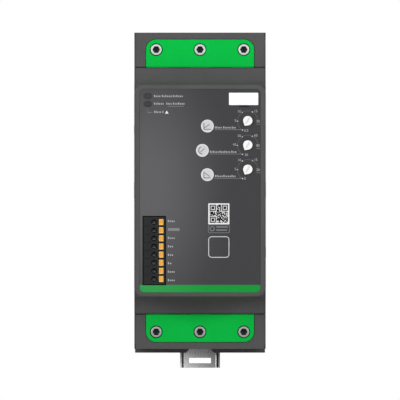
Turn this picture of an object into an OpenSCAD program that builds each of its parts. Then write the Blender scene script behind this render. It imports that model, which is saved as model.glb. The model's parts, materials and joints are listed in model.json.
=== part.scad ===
// Three-pole soft starter for a 35 mm mounting rail, in millimetres.
// X runs to the right, Z up, and the front faces -Y.
// The origin is the centre of the face that seats on the rail's flanges.

/* [Body] */
// Width of the body along the rail
body_w = 75; // [72:0.5:90]
// Height of each terminal section, seam to outer face
term_h = 19.9; // [18:0.1:26]
// Height of the concave sweep between a terminal section and the nose
shoulder_h = 10; // [6:0.5:14]
// Height of the raised nose
nose_h = 120.8; // [112:0.1:140]
// Height of the rear base that shows below the terminal section
lip_h = 3.1; // [1.8:0.1:4]
// Depth from the rail seat to the face of the terminal sections
face_d = 122; // [118:1:150]
// How far the nose stands out in front of the terminal sections
nose_rise = 25; // [22:0.5:40]
// Wall thickness of the housings
wall = 2.2; // [1.8:0.1:3]
// Radius of the nose's corners, seen from the front
nose_corner = 5.4; // [3:0.1:8]
// Radius of the edge round the nose's face
nose_edge = 0.9; // [0.5:0.1:2]

/* [Rear base and rail seat] */
// Depth of the rear base behind the rail seat
base_back = 6.5; // [6:0.1:7.5]
// Depth of the rear base in front of the rail seat
base_front = 13; // [11:0.5:18]
// Height of the mounting rail
rail_h = 35; // [35:0.1:35.4]
// Play of the rail in its channel, each side
rail_play = 0.4; // [0.3:0.1:0.8]
// Reach of the hooks behind the rail's flange
hook_reach = 2.4; // [1.5:0.1:3]
// Gap left for the rail's flange between seat and hook
flange_gap = 1.3; // [1.2:0.1:1.6]
// Thickness of the fixed hooks
hook_t = 2.6; // [2:0.1:3.2]
// Width of each fixed hook
hook_w = 20; // [12:1:22]
// Distance of each fixed hook from the body's side
hook_side = 5.5; // [4:0.5:8]
// Thickness of the rear base's back walls
base_floor = 2.5; // [2:0.1:3]

/* [Rail clip] */
// Width of the folded steel clip
clip_w = 23.1; // [20:0.1:25]
// Width of the clip's middle plate
clip_plate_w = 18.9; // [16:0.1:19]
// Sheet thickness of the clip
clip_t = 1.05; // [0.8:0.05:1.1]
// Depth of the folds along the clip's sides
clip_fold = 3.3; // [2.6:0.1:3.6]
// How far the clip stands out below the base
clip_out = 8.8; // [7.5:0.1:12]
// Width of the screwdriver slot
clip_slot_w = 12.6; // [8:0.1:14]
// Height of the screwdriver slot
clip_slot_h = 3.1; // [2.4:0.1:4]
// Distance from the clip's end to the slot
clip_slot_in = 2.6; // [2:0.1:3]
// Travel of the clip when it is pulled down
clip_travel = 6; // [4:0.5:8]
// Running gap round the clip
clip_gap = 0.3; // [0.25:0.05:0.5]
// Wire of the clip's spring
spring_wire = 0.8; // [0.6:0.1:1]
// Outer diameter of the clip's spring
spring_d = 4.4; // [3.6:0.1:5]
// Length of the clip's spring at rest
spring_len = 20; // [16:1:26]
// Distance from the body's foot up to the spring's seat
spring_up = 34; // [28:0.5:44]

/* [Heatsink] */
// Gap between the heatsink's ends and the housing
sink_end = 8.1; // [5:0.1:30]
// Gap between the rear base and the fins
sink_back_gap = 2; // [1:0.5:4]
// Thickness of the heatsink's plate
sink_plate = 8; // [5:0.5:10]
// Depth of the fins
fin_d = 37; // [20:1:40]
// Thickness of one fin
fin_t = 1.8; // [1.2:0.1:2.4]
// Gap between the outer fins and the screw bosses
fin_clear = 2.55; // [1.5:0.05:5]
// Number of fins
fin_n = 9; // [5:1:11]
// Width of one vent slot
vent_w = 3; // [2:0.1:3.6]
// How much the vent slots are shorter than the fins are deep, at each end
vent_in = 1.5; // [1:0.5:6]

/* [Housing screws] */
// Distance of the housing screws from the side walls
boss_in = 4.1; // [3.9:0.1:4.6]
// Distance of the housing screws from the housing's ends
boss_end = 28.3; // [24:0.1:40]
// Diameter of a screw boss
boss_d = 7.5; // [6.8:0.1:7.8]
// Diameter of a housing screw
screw_d = 4; // [3:0.1:4.2]
// Diameter of a housing screw's head
screw_head_d = 7.4; // [6.5:0.1:7.8]

/* [Power terminals] */
// Width of the shroud beside the terminal block
block_side = 6.66; // [4.6:0.02:8]
// Thickness of the shroud's wall over the terminal block
block_over = 3.9; // [3:0.1:5]
// Distance from the outer poles to the terminal block's sides
pole_side = 5.84; // [5.4:0.02:7]
// Radius of the block's outer corners
block_corner = 5.8; // [3:0.1:7]
// Radius of the block's corners at the seam
block_seam_corner = 0.8; // [0.4:0.1:2]
// Radius of the block's corners behind its face plate
block_back_corner = 1; // [0.6:0.1:2]
// Thickness of the block's face plate
block_plate = 3; // [2:0.1:3.2]
// Shadow gap round the block's face plate
block_gap = 0.3; // [0.2:0.05:0.4]
// Width of the shadow groove along a seam
groove_seam_w = 0.45; // [0.3:0.05:0.6]
// Depth of the shadow groove along a seam
groove_seam_deep = 0.9; // [0.5:0.1:1.2]
// Depth of the terminal sections
block_d = 36; // [35:0.5:42]
// Distance from the screw axes to the terminal block's outer side
screw_under = 5.8; // [5.2:0.1:6.4]
// Diameter of a terminal screw's head
head_d = 6.2; // [5.6:0.1:6.6]
// Length of a terminal screw's head
head_l = 3.2; // [2.6:0.1:3.6]
// Gap round a terminal screw's head
recess_gap = 0.55; // [0.3:0.05:0.8]
// Diameter of a terminal screw's shank
shank_d = 5; // [4:0.1:5]
// Width across the six-lobed socket
socket_d = 4; // [3.2:0.1:4.4]
// Wall of the terminal block beside and over a clamping cage
pocket_wall = 0.5; // [0.4:0.1:1.2]
// Running gap round a clamping cage
cage_play = 0.3; // [0.2:0.05:0.4]
// Lift of a clamping cage
cage_lift = 6; // [4:0.5:6]
// Sheet thickness of a cage's sides
cage_side = 1.1; // [0.8:0.1:1.2]
// Thickness of a cage's tapped wall
cage_nut = 2.5; // [2:0.1:3]
// Thickness of a cage's clamping wall
cage_back = 1.5; // [1.2:0.1:1.8]
// Room for the wire with the cage open
wire_room = 8.2; // [7.5:0.1:9]
// Gap between a busbar and the sides of its cage
bus_play = 0.3; // [0.2:0.05:1]
// Thickness of a busbar
bus_t = 2; // [1.5:0.1:2.5]
// How far a busbar reaches in past the seam
bus_in = 14; // [10:0.5:18]

/* [Front panel] */
// Margin between the nose's side and the label
label_side = 3; // [2:0.1:5]
// Margin between the nose's ends and the label
label_end = 2.4; // [2:0.1:5]
// Radius of the label's corners
label_corner = 2.6; // [1.5:0.1:4]
// Thickness of the label
label_t = 0.3; // [0.2:0.05:0.5]
// Depth of the label's recess
label_sink = 0.5; // [0.4:0.05:0.8]
// Distance from the nose's side to the trim knobs
knob_side = 10.3; // [9:0.1:14]
// Distance from the nose's top to the top trim knob
knob_top = 20.5; // [19.5:0.1:24]
// Distance between the trim knobs
knob_pitch = 13.85; // [12:0.05:15]
// Diameter of a trim knob's cap
knob_d = 5.3; // [4.5:0.1:6]
// Thickness of a trim knob's cap
knob_t = 1.1; // [0.8:0.1:1.6]
// Diameter of a trim knob's stem
stem_d = 4; // [3:0.1:4.2]
// Size of a trimmer's can
can_w = 9.4; // [8:0.1:10]
// Depth of a trimmer's can
can_d = 6; // [4:0.1:6.5]
// Width of a signal window
lamp_w = 4.3; // [3:0.1:5]
// Height of a signal window
lamp_h = 3.1; // [2:0.1:3.6]
// Distance between the signal windows
lamp_pitch = 4.5; // [4.3:0.1:6]
// Distance from the nose's side to the middle of the signal windows
lamp_side = 7.7; // [6.5:0.1:12]
// Distance from the nose's top to the top signal window
lamp_top = 6.5; // [5.5:0.1:12]
// Width of the blank marker plate
marker_w = 16.7; // [10:0.1:18]
// Height of the blank marker plate
marker_h = 7; // [5:0.1:7.5]
// Thickness of the blank marker plate
marker_t = 0.8; // [0.6:0.1:1]
// Distance from the label's side to the marker plate
marker_side = 1.3; // [1:0.1:4]
// Distance from the label's top to the marker plate
marker_top = 2.2; // [1.5:0.1:4]

/* [Control terminal] */
// Distance between the poles
ctl_pitch = 4.63; // [4.4:0.01:5]
// Width of the control terminal
ctl_w = 13.1; // [12:0.1:15]
// Distance from the nose's side to the middle of the control terminal
ctl_side = 11.45; // [10.4:0.05:14]
// Height of the control terminal over the nose's foot
ctl_foot = 6.7; // [5.5:0.1:12]
// Border above the first pole and below the last
ctl_end = 1.1; // [0.8:0.1:2]
// Shadow gap round the control terminal, over its flange
ctl_gap = 0.45; // [0.3:0.05:0.6]
// Width of a release button
button_w = 2.9; // [2:0.1:3.2]
// Wall between neighbouring release buttons
button_rib = 0.58; // [0.5:0.02:1.2]
// Length of a release button
button_l = 7.5; // [5:0.1:8]
// Travel of a release button
button_travel = 1.5; // [1:0.1:1.8]
// Gap round a release button
button_gap = 0.2; // [0.15:0.05:0.3]
// Diameter of a wire funnel's mouth
funnel_d = 3.3; // [2.6:0.1:3.6]
// Side of the square wire channel
channel_w = 1.9; // [1.5:0.1:2.1]
// Distance from the control terminal's middle to the buttons
button_off = 3.95; // [3.6:0.05:4.2]
// Distance from the control terminal's middle to the wire funnels
funnel_off = 0.15; // [0:0.05:0.4]

/* [Boards] */
// Thickness of the circuit boards
board_t = 1.6; // [1:0.1:2]
// Gap between a board's edge and the housing
board_gap = 0.4; // [0.3:0.1:1]
// Depth from the nose's face to the control board
board_in = 13; // [12.5:0.5:15]
// Depth of a thyristor module
module_d = 15; // [10:1:17]
// Height of a thyristor module
module_h = 60; // [40:1:80]
// Gap between neighbouring thyristor modules
module_gap = 2.4; // [1:0.1:6]
// Gap between the outer thyristor modules and the side walls
module_side = 2.9; // [1:0.1:6]
// Depth of a bypass relay
relay_d = 18; // [12:1:20]
// Height of a bypass relay
relay_h = 36; // [20:1:40]
// Gap between neighbouring bypass relays
relay_gap = 1.5; // [1:0.1:6]
// Gap between the outer bypass relays and the side walls
relay_side = 5.3; // [4:0.1:8]
// Length of the card that joins the boards
riser_h = 28; // [16:1:40]

/* [Cover catches] */
// Width of a catch on the front cover's sides
catch_w = 8; // [5:0.5:12]
// Distance of the catches from the middle height
catch_z = 40; // [24:1:52]
// Thickness of a catch's tongue
catch_t = 1.6; // [1.2:0.1:2]
// Depth of a catch's window in the housing
catch_window = 3; // [2:0.1:5]
// Distance from the housing's front edge to a catch's window
catch_in = 6; // [4:0.5:12]

/* [Hidden] */
$fn = 48;

// Poles of the control terminal, with one button each
poles = 8;

// Clearances that several pieces share
over = 1;
fit = 0.15;
seat_gap = 0.3;
thread_play = 0.1;

// Heights, from the foot of the base up
body_h = 2 * term_h + 2 * shoulder_h + nose_h + lip_h;
z_top = body_h / 2;
z_base = -body_h / 2;
z_seam_top = z_top - term_h;
z_nose_top = z_seam_top - shoulder_h;
z_nose_foot = z_nose_top - nose_h;
z_seam_foot = z_nose_foot - shoulder_h;
z_foot = z_base + lip_h;
z_mid = (z_top + z_foot) / 2;

// Depths, from the rail seat to the front
split_lap = 4;
y_base = -base_front;
y_face = -face_d;
y_nose = y_face - nose_rise;
y_shelf = y_face + block_d;
y_split = y_face + split_lap;
half_w = body_w / 2;
inner_w = half_w - wall;
board_half = inner_w - board_gap;
nose_wall = y_nose + wall;

// Rear base and rail clip
hook_out = half_w - hook_side;
channel_half = rail_h / 2 + rail_play;
clip_y = flange_gap;
clip_half = clip_w / 2;
track_half = clip_half + clip_gap;
track_back = clip_y + clip_fold + clip_gap;
z_clip_top = -rail_h / 2 + hook_reach;
z_clip_foot = z_base - clip_out;
notch_top = 5.4;
notch_foot = 8;
tongue_in = 2;
rim = 0.01;
spring_foot = z_base + spring_up;
spring_y = clip_y + clip_t / 2;
spring_turns = 9;
ring_points = 6;
turn_steps = 16;

// Heatsink, its plate and the screws that hold the base
sink_back = -(base_front + sink_back_gap) - fin_d;
sink_front = sink_back - sink_plate;
z_sink_foot = z_foot + wall + sink_end;
z_sink_top = z_top - wall - sink_end;
boss_x = inner_w - boss_in;
boss_z = (z_top - z_foot) / 2 - boss_end;
fin_pitch = 2 * (boss_x - boss_d / 2 - fin_clear - fin_t / 2) / (fin_n - 1);
bore_play = 0.4;
bore_d = screw_d + bore_play;
screw_hole_d = screw_d + thread_play;
head_deep = 3.4;
head_under = 0.6;
counterbore_d = screw_head_d + 2 * seat_gap;
base_boss_wall = 1.8;
base_boss_d = screw_head_d + 2 * base_boss_wall;
screw_bite = 6;
cross_w = 1;
web_t = 3;
web_bite = 0.5;

// Power terminals, measured from a seam outwards
block_half = half_w - block_side;
block_h = term_h - block_over;
pole_pitch = block_half - pole_side;
screw_rise = block_h - screw_under;
cage_w = 2 * (pole_side - pocket_wall - cage_play);
cage_h = 2 * (screw_under - pocket_wall - cage_play);
entry_w = cage_w - 2 * cage_side;
bus_w = entry_w - 2 * bus_play;
recess_d = head_d + 2 * recess_gap;
block_sink = 0.3;
block_face = y_face + block_sink;
head_sink = 0.4;
head_face = block_face + head_sink;
head_gap = 0.2;
ledge_y = head_face + head_l + head_gap;
ledge_t = 2.2;
pocket_y = ledge_y + ledge_t;
cage_stop = 0.5;
cage_y = pocket_y + cage_stop + cage_lift;
shelf_wall = 1.4;
bus_y = y_shelf - shelf_wall - cage_play - cage_back - wire_room - bus_t;
cage_end = bus_y + bus_t + wire_room + cage_back;
cage_bend = 1.2;
tip_y = bus_y - head_gap;
bus_fit = 0.2;
bus_window = 1;
shank_play = 0.5;
mouth_r = 0.5;
core_half = 4;
core_wall = 2;
step_w = 0.8;
step_d = 1.5;
step_h = 2.5;
side_wall = 1.7;
side_core_in = 6;
side_core_end = 2.5;
grip_h = 0.8;
grip_pitch = 2.5;
grip_t = 0.25;
lobe_share = 0.135;
core_share = 0.37;
socket_deep = 2.2;
power_in = 6;
power_y = y_shelf - power_in;

// Front panel
label_half = half_w - label_side;
label_top = z_nose_top - label_end;
label_foot = z_nose_foot + label_end;
label_play = 0.1;
recess_y = y_nose + label_sink;
label_y = recess_y - label_t;
board_y = y_nose + board_in;
marker_proud = 0.1;
marker_x = label_half - marker_side - marker_w / 2;
marker_z = label_top - marker_top - marker_h / 2;
marker_y = recess_y - marker_proud;
marker_r = 0.3;
slit_left = 2.6;
slit_right = 3.3;
slit_h = 0.9;
lamp_x = -half_w + lamp_side;
pipe_d = 2;
knob_x = half_w - knob_side;
knob_back = label_y - seat_gap;
knob_face = knob_back - knob_t;
pointer_turn = 31;
pointer_reach = 1.26;
pointer_half = 0.12;
stem_gap = 0.4;
stem_short = 0.5;
cap_slot_w = 0.8;
cap_slot_deep = 0.6;
cap_slot_share = 0.75;
stem_hole_d = stem_d + 2 * stem_gap;
can_floor = 1;
stem_end = board_y - can_floor - stem_short;
post_d = 5;
post_end = 8;
post_gap = 6.5;
post_overlap = 0.4;

// Control terminal
ctl_h = poles * ctl_pitch + 2 * ctl_end;
ctl_x = -half_w + ctl_side;
ctl_z0 = z_nose_foot + ctl_foot;
ctl_proud = 0.1;
ctl_face = y_nose - ctl_proud;
ctl_flange = 1;
button_h = ctl_pitch - button_rib - 2 * button_gap;
button_face = ctl_face - seat_gap;
button_x = ctl_x + button_off;
button_end = button_face + button_l + button_travel + seat_gap;
dish_rim = 0.6;
dish_deep = 0.4;
funnel_x = ctl_x - funnel_off;
funnel_l = 1.2;
channel_floor = 1.2;
channel_end = board_y - channel_floor;
groove_w = 0.3;
groove_deep = 0.25;
leaf_t = 0.4;

// Boards, modules and relays
module_w = 2 * (inner_w - module_side - module_gap) / 3;
relay_w = 2 * (inner_w - relay_side - relay_gap) / 3;
ear_h = 6;
ear_t = 4;
tab_d = 5;
tab_pitch = 16;
board_lap = 3;
board_end = 2;
riser_in = 6;
riser_gap = 2;
ledge_w = 2;
ledge_d = 3;
ledge_end = 24.4;
catch_y = y_split + catch_in;
catch_hook = 1.5;

function pole_x(i) = (i - 1) * pole_pitch;
function module_x(i) = (i - 1) * (module_w + module_gap);
function relay_x(i) = (i - 1) * (relay_w + relay_gap);
function ctl_pole_z(i) = ctl_z0 + ctl_h - ctl_end - (i + 0.5) * ctl_pitch;
function knob_at(i) = z_nose_top - knob_top - i * knob_pitch;
function lamp_at(i) = z_nose_top - lamp_top - i * lamp_pitch;

// An outline in Y and Z, drawn along X between two stations
module along_x(x0, x1) {
  translate([x0, 0, 0]) rotate([90, 0, 90]) linear_extrude(x1 - x0) children();
}

// An outline in X and Z, drawn along Y between two stations
module along_y(y0, y1) {
  translate([0, y1, 0]) rotate([90, 0, 0]) linear_extrude(y1 - y0) children();
}

// A block between two corners
module block(x0, x1, y0, y1, z0, z1) {
  translate([x0, y0, z0]) cube([x1 - x0, y1 - y0, z1 - z0]);
}

// A cylinder along Y between two stations
module peg(x, z, y0, y1, d) {
  translate([x, y1, z]) rotate([90, 0, 0]) cylinder(h = y1 - y0, d = d);
}

// A rectangle with round corners
module soft_rect(x0, x1, z0, z1, r) {
  translate([x0 + r, z0]) square([x1 - x0 - 2 * r, z1 - z0]);
  translate([x0, z0 + r]) square([x1 - x0, z1 - z0 - 2 * r]);
  for (x = [x0 + r, x1 - r], z = [z0 + r, z1 - r]) translate([x, z]) circle(r);
}

// A rectangle whose outer corners and seam corners have their own radii
module gate_rect(half, h, r_out, r_seam) {
  translate([-half, r_seam]) square([2 * half, h - r_out - r_seam]);
  translate([-half + r_out, r_seam]) square([2 * (half - r_out), h - r_seam]);
  translate([-half + r_seam, 0]) square([2 * (half - r_seam), h - r_out]);
  for (s = [-1, 1]) {
    translate([s * (half - r_out), h - r_out]) circle(r_out);
    translate([s * (half - r_seam), r_seam]) circle(r_seam);
  }
}

// A section of a slab whose front corners are round: width w, depth d
module eased_section(w, d, r) {
  translate([-w / 2, 0]) square([w, d - r]);
  translate([-w / 2 + r, 0]) square([w - 2 * r, d]);
  for (s = [-1, 1]) translate([s * (w / 2 - r), d - r]) circle(r);
}

// A slab with round corners and an eased front edge, its back at y = 0
module eased_slab(w, h, d, corner, edge) {
  translate([0, 0, -h / 2 + corner]) linear_extrude(h - 2 * corner)
    mirror([0, 1]) eased_section(w, d, edge);
  rotate([0, 90, 0]) translate([0, 0, -w / 2 + corner]) linear_extrude(w - 2 * corner)
    mirror([0, 1]) eased_section(h, d, edge);
  for (x = [-1, 1], z = [-1, 1])
    translate([x * (w / 2 - corner), 0, z * (h / 2 - corner)]) rotate([90, 0, 0]) {
      rotate_extrude() {
        square([corner, d - edge]);
        square([corner - edge, d]);
        translate([corner - edge, d - edge]) circle(edge);
      }
    }
}

// Places a terminal part, drawn outwards from z = 0, at the top or the bottom seam
module at_seam(top) {
  if (top) translate([0, 0, z_seam_top]) children();
  else translate([0, 0, z_seam_foot]) mirror([0, 0, 1]) children();
}

// The groove that the rail clip runs in, open at the foot
module clip_track() {
  window_half = clip_plate_w / 2 - clip_t;
  block(-track_half, track_half, clip_y - clip_gap, track_back, z_base - over, z_clip_top + clip_gap);
  block(-window_half, window_half, clip_y, base_back + over, z_base - over, z_clip_top + clip_gap);
}

// Its children at each of the four housing screws' axes
module at_bosses() {
  for (x = [-boss_x, boss_x], z = [z_mid - boss_z, z_mid + boss_z]) translate([x, 0, z]) children();
}

// Its children on the right, and mirrored on the left
module both_sides() {
  children();
  mirror([1, 0, 0]) children();
}

module rear_base() {
  hollow_back = base_back - base_floor;
  side_hollow = track_half + base_floor;
  color([0.13, 0.13, 0.14]) difference() {
    union() {
      difference() {
        block(-half_w, half_w, y_base, base_back, z_base, z_top);
        // Main hollow, and the deeper hollows beside the clip and above the rail
        block(-inner_w, inner_w, y_base - over, -base_floor, z_foot, z_top - wall);
        block(-inner_w, inner_w, y_base - over, hollow_back, channel_half + base_floor, z_top - wall);
        both_sides() block(side_hollow, inner_w, y_base - over, hollow_back, z_foot,
          -channel_half - base_floor);
      }
      at_bosses() peg(0, 0, y_base, base_back, base_boss_d);
    }
    // Rail channel, with the flange slots behind the fixed hooks
    block(-half_w - over, half_w + over, 0, base_back + over, -channel_half, rail_h / 2 - hook_reach);
    block(-half_w - over, half_w + over, 0, flange_gap, -channel_half, channel_half);
    block(-half_w - over, half_w + over, flange_gap + hook_t, base_back + over, 0, channel_half);
    block(-hook_out + hook_w, hook_out - hook_w, 0, base_back + over, 0, channel_half);
    both_sides() block(hook_out, half_w + over, 0, base_back + over, 0, channel_half);
    clip_track();
    // Pocket of the clip's spring
    block(-spring_d / 2 - seat_gap, spring_d / 2 + seat_gap, spring_y - spring_d / 2 - seat_gap, clip_y,
      spring_foot, spring_foot + spring_len + clip_gap);
    // Notch in the foot, in front of the clip
    along_y(y_base - over, clip_y) polygon([
      [-notch_top, z_foot + over], [-notch_top, z_foot], [-notch_foot, z_base - rim],
      [-notch_foot, z_base - over], [notch_foot, z_base - over], [notch_foot, z_base - rim],
      [notch_top, z_foot], [notch_top, z_foot + over]]);
    at_bosses() {
      peg(0, 0, y_base - over, base_back + over, bore_d);
      peg(0, 0, base_back - head_deep, base_back + over, counterbore_d);
    }
  }
}

// The clip's section: a raised plate with a folded groove and an upright lip on each side
module clip_section() {
  edge = clip_plate_w / 2;
  translate([-edge, 0]) square([clip_plate_w, clip_t]);
  for (s = [-1, 1]) scale([s, 1]) {
    translate([edge - clip_t, 0]) square([clip_t, clip_fold]);
    translate([edge - clip_t, clip_fold - clip_t]) square([clip_half - edge + clip_t, clip_t]);
    translate([clip_half - clip_t, 0]) square([clip_t, clip_fold]);
  }
}

module rail_clip() {
  shoulder = -channel_half - tongue_in;
  window_half = spring_d / 2 + seat_gap;
  color([0.74, 0.75, 0.77]) difference() {
    union() {
      translate([0, clip_y, z_clip_foot]) linear_extrude(shoulder - z_clip_foot) clip_section();
      block(-clip_plate_w / 2, clip_plate_w / 2, clip_y, clip_y + clip_t, shoulder - over, z_clip_top);
    }
    // Screwdriver slot
    block(-clip_slot_w / 2, clip_slot_w / 2, clip_y - over, clip_y + clip_fold + over,
      z_clip_foot + clip_slot_in, z_clip_foot + clip_slot_in + clip_slot_h);
    // Window of the spring
    block(-window_half, window_half, clip_y - over, clip_y + clip_fold + over,
      spring_foot - clip_travel - over, spring_foot + spring_len);
  }
}

// One point of the coil's wire: t turns up, k of ring_points round the wire
function coil_point(t, k) = let (a = 360 * k / ring_points, r = (spring_d - spring_wire) / 2
  + spring_wire / 2 * cos(a), z = spring_wire / 2 + (spring_len - spring_wire) * t / spring_turns)
  [r * cos(360 * t), r * sin(360 * t), z + spring_wire / 2 * sin(a)];

module rail_clip_spring() {
  last = ring_points - 1;
  steps = spring_turns * turn_steps;
  rings = [for (i = [0:steps], k = [0:last]) coil_point(i / turn_steps, k)];
  sides = [for (i = [0:steps - 1], k = [0:last]) let (a = i * ring_points, b = a + ring_points,
    next = (k + 1) % ring_points) [a + k, a + next, b + next, b + k]];
  ends = [[for (k = [last:-1:0]) k], [for (k = [0:last]) steps * ring_points + k]];
  color([0.8, 0.8, 0.82]) translate([0, spring_y, spring_foot]) polyhedron(rings, concat(sides, ends));
}

// A plate on the module side, with fins towards the rear base
module heatsink() {
  color([0.72, 0.73, 0.75]) difference() {
    translate([0, 0, z_sink_foot]) linear_extrude(z_sink_top - z_sink_foot) {
      translate([-board_half, sink_front]) square([2 * board_half, sink_plate]);
      for (i = [0:fin_n - 1]) translate([(i - (fin_n - 1) / 2) * fin_pitch, 0]) {
        translate([-fin_t / 2, sink_back - over]) square([fin_t, fin_d + over - fin_t / 2]);
        translate([0, sink_back + fin_d - fin_t / 2]) circle(fin_t / 2);
      }
    }
    at_bosses() peg(0, 0, sink_front - over, sink_back + over, screw_hole_d);
  }
}

module housing_screws() {
  color([0.7, 0.7, 0.72]) at_bosses() difference() {
    union() {
      peg(0, 0, sink_back - screw_bite, base_back - head_deep, screw_d);
      peg(0, 0, base_back - head_deep, base_back - head_under, screw_head_d);
    }
    // Cross in the head
    for (a = [0, 90]) translate([0, base_back, 0]) rotate([0, a, 0])
      cube([cross_w, head_deep + head_under, screw_head_d * 0.55], center = true);
  }
}

// The mid housing's outline in Y and Z, drawn in by t
module housing_outline(t) {
  translate([y_shelf + t, z_foot + t]) square([y_base - y_shelf + over, z_top - z_foot - 2 * t]);
  translate([y_split - over, z_seam_foot + t])
    square([y_base - y_split + over, z_seam_top - z_seam_foot - 2 * t]);
}

module main_housing() {
  fins_half = (fin_n + 1) / 2 * fin_pitch;
  color([0.34, 0.34, 0.35]) union() {
    difference() {
      intersection() {
        along_x(-half_w, half_w) housing_outline(0);
        block(-half_w, half_w, y_split, y_base, z_foot, z_top);
      }
      along_x(-inner_w, inner_w) housing_outline(wall);
      // Vents over and under the fins
      for (i = [0:fin_n], z = [z_foot, z_top]) translate([-fins_half + (i + 0.5) * fin_pitch, 0, z])
        block(-vent_w / 2, vent_w / 2, sink_back + vent_in, sink_back + fin_d - vent_in, -wall - over,
          wall + over);
      // Windows of the busbars
      for (i = [0:2], z = [z_seam_foot, z_seam_top]) translate([pole_x(i), 0, z])
        block(-bus_w / 2 - bus_window, bus_w / 2 + bus_window, bus_y - bus_window,
          bus_y + bus_t + bus_window, -wall - over, wall + over);
      // Windows of the cover's catches
      at_catches() block(inner_w - over, half_w + over, catch_y, catch_y + catch_window,
        -catch_w / 2 - fit, catch_w / 2 + fit);
    }
    // Screw bosses behind the heatsink, on webs from the side walls
    at_bosses() difference() {
      peg(0, 0, sink_back, y_base, boss_d);
      peg(0, 0, sink_back - over, y_base + over, bore_d);
    }
    for (z = [z_mid - boss_z, z_mid + boss_z]) both_sides() translate([0, 0, z])
      block(boss_x + bore_d / 2 + web_bite, inner_w + web_bite, sink_back, y_base, -web_t / 2, web_t / 2);
    // Ledges that carry the power board
    both_sides() block(inner_w - ledge_w, inner_w + web_bite, power_y + board_t,
      power_y + board_t + ledge_d, z_seam_foot + ledge_end, z_seam_top - ledge_end);
  }
}

// Its children at the cover's four catches, mirrored for the left side
module at_catches() {
  for (z = [z_mid - catch_z, z_mid + catch_z]) both_sides() translate([0, 0, z]) children();
}

// A tongue of the front cover, rooted in its side, with a hook that springs into the housing's window
module cover_catch() {
  x0 = inner_w - fit - catch_t;
  y1 = catch_y + catch_window - fit;
  block(x0, half_w - wall / 2, y_face + wall, y_split, -catch_w / 2, catch_w / 2);
  block(x0, inner_w - fit, y_face + wall, y1, -catch_w / 2, catch_w / 2);
  block(x0, inner_w - fit + catch_hook, catch_y + fit, y1, -catch_w / 2, catch_w / 2);
}

// The cover's outline in Y and Z: seam to nose through two concave sweeps
module cover_outline() {
  difference() {
    translate([y_face - shoulder_h, z_seam_foot])
      square([y_split - y_face + shoulder_h, z_seam_top - z_seam_foot]);
    for (z = [z_seam_foot, z_seam_top]) translate([y_face - shoulder_h, z]) circle(shoulder_h, $fn = 96);
  }
}

module front_cover() {
  hollow_half = half_w - wall;
  color([0.35, 0.35, 0.36]) {
    difference() {
      union() {
        along_x(-half_w, half_w) cover_outline();
        translate([0, y_face, (z_nose_foot + z_nose_top) / 2])
          eased_slab(body_w, nose_h, nose_rise, nose_corner, nose_edge);
      }
      // Hollow of the nose, and of the part behind it
      along_y(nose_wall, y_split + over) soft_rect(-hollow_half, hollow_half, z_nose_foot + wall,
        z_nose_top - wall, nose_corner - wall);
      block(-hollow_half, hollow_half, y_face + wall, y_split + over, z_seam_foot + wall, z_seam_top - wall);
      // Recess of the label
      along_y(y_nose - over, recess_y)
        soft_rect(-label_half, label_half, label_foot, label_top, label_corner);
      // Window of the control terminal
      along_y(y_nose, nose_wall + over) terminal_window();
      for (i = [0:2]) peg(knob_x, knob_at(i), y_nose, nose_wall + over, stem_hole_d);
      for (i = [0, 1]) along_y(y_nose, nose_wall + over) lamp_outline(i, fit);
      // Seat of the marker plate, and the slit to lift it by, which runs through the wall
      along_y(y_nose, marker_y + marker_t) marker_window();
      along_y(y_nose, nose_wall + over) marker_slit();
    }
    // Posts of the control board, clear of the terminal, the windows and the trimmers
    for (x = [ctl_x + ctl_w / 2 + post_gap, half_w - post_gap])
      peg(x, z_nose_foot + post_end, nose_wall - post_overlap, board_y, post_d);
    for (x = [lamp_x + lamp_w / 2 + post_gap, knob_x - can_w / 2 - post_gap])
      peg(x, z_nose_top - post_end, nose_wall - post_overlap, board_y, post_d);
    at_catches() cover_catch();
  }
}

// Outline of the window that the control terminal stands in
module terminal_window() {
  translate([ctl_x - ctl_w / 2 - fit, ctl_z0 - fit]) square([ctl_w + 2 * fit, ctl_h + 2 * fit]);
}

// Outline of a signal window: two half rounds on a square
module lamp_outline(i, play) {
  r = lamp_h / 2 + play;
  for (s = [-1, 1]) translate([lamp_x + s * (lamp_w - lamp_h) / 2, lamp_at(i)]) circle(r);
  translate([lamp_x - (lamp_w - lamp_h) / 2, lamp_at(i) - r]) square([lamp_w - lamp_h, 2 * r]);
}

// Outline of the marker plate's seat
module marker_window() {
  translate([marker_x - marker_w / 2 - fit, marker_z - marker_h / 2 - fit])
    square([marker_w + 2 * fit, marker_h + 2 * fit]);
}

// Outline of the slit under the marker plate
module marker_slit() {
  translate([marker_x - slit_left, marker_z - marker_h / 2 - slit_h])
    square([slit_left + slit_right, slit_h]);
}

module front_label() {
  color([0.32, 0.32, 0.33]) along_y(label_y, recess_y) difference() {
    soft_rect(-label_half + label_play, label_half - label_play, label_foot + label_play,
      label_top - label_play, label_corner - label_play);
    terminal_window();
    for (i = [0:2]) translate([knob_x, knob_at(i)]) circle(d = stem_hole_d + 2 * label_play);
    for (i = [0, 1]) lamp_outline(i, fit);
    marker_window();
    marker_slit();
  }
}

module marker_plate() {
  color([0.95, 0.95, 0.95]) along_y(marker_y, marker_y + marker_t) soft_rect(marker_x - marker_w / 2,
    marker_x + marker_w / 2, marker_z - marker_h / 2, marker_z + marker_h / 2, marker_r);
}

// An oval window with its light pipe, which ends just over the board
module signal_window(i) {
  color([0.2, 0.2, 0.2]) {
    along_y(label_y, nose_wall + over) lamp_outline(i, 0);
    peg(lamp_x, lamp_at(i), nose_wall, board_y, pipe_d);
  }
}

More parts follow.
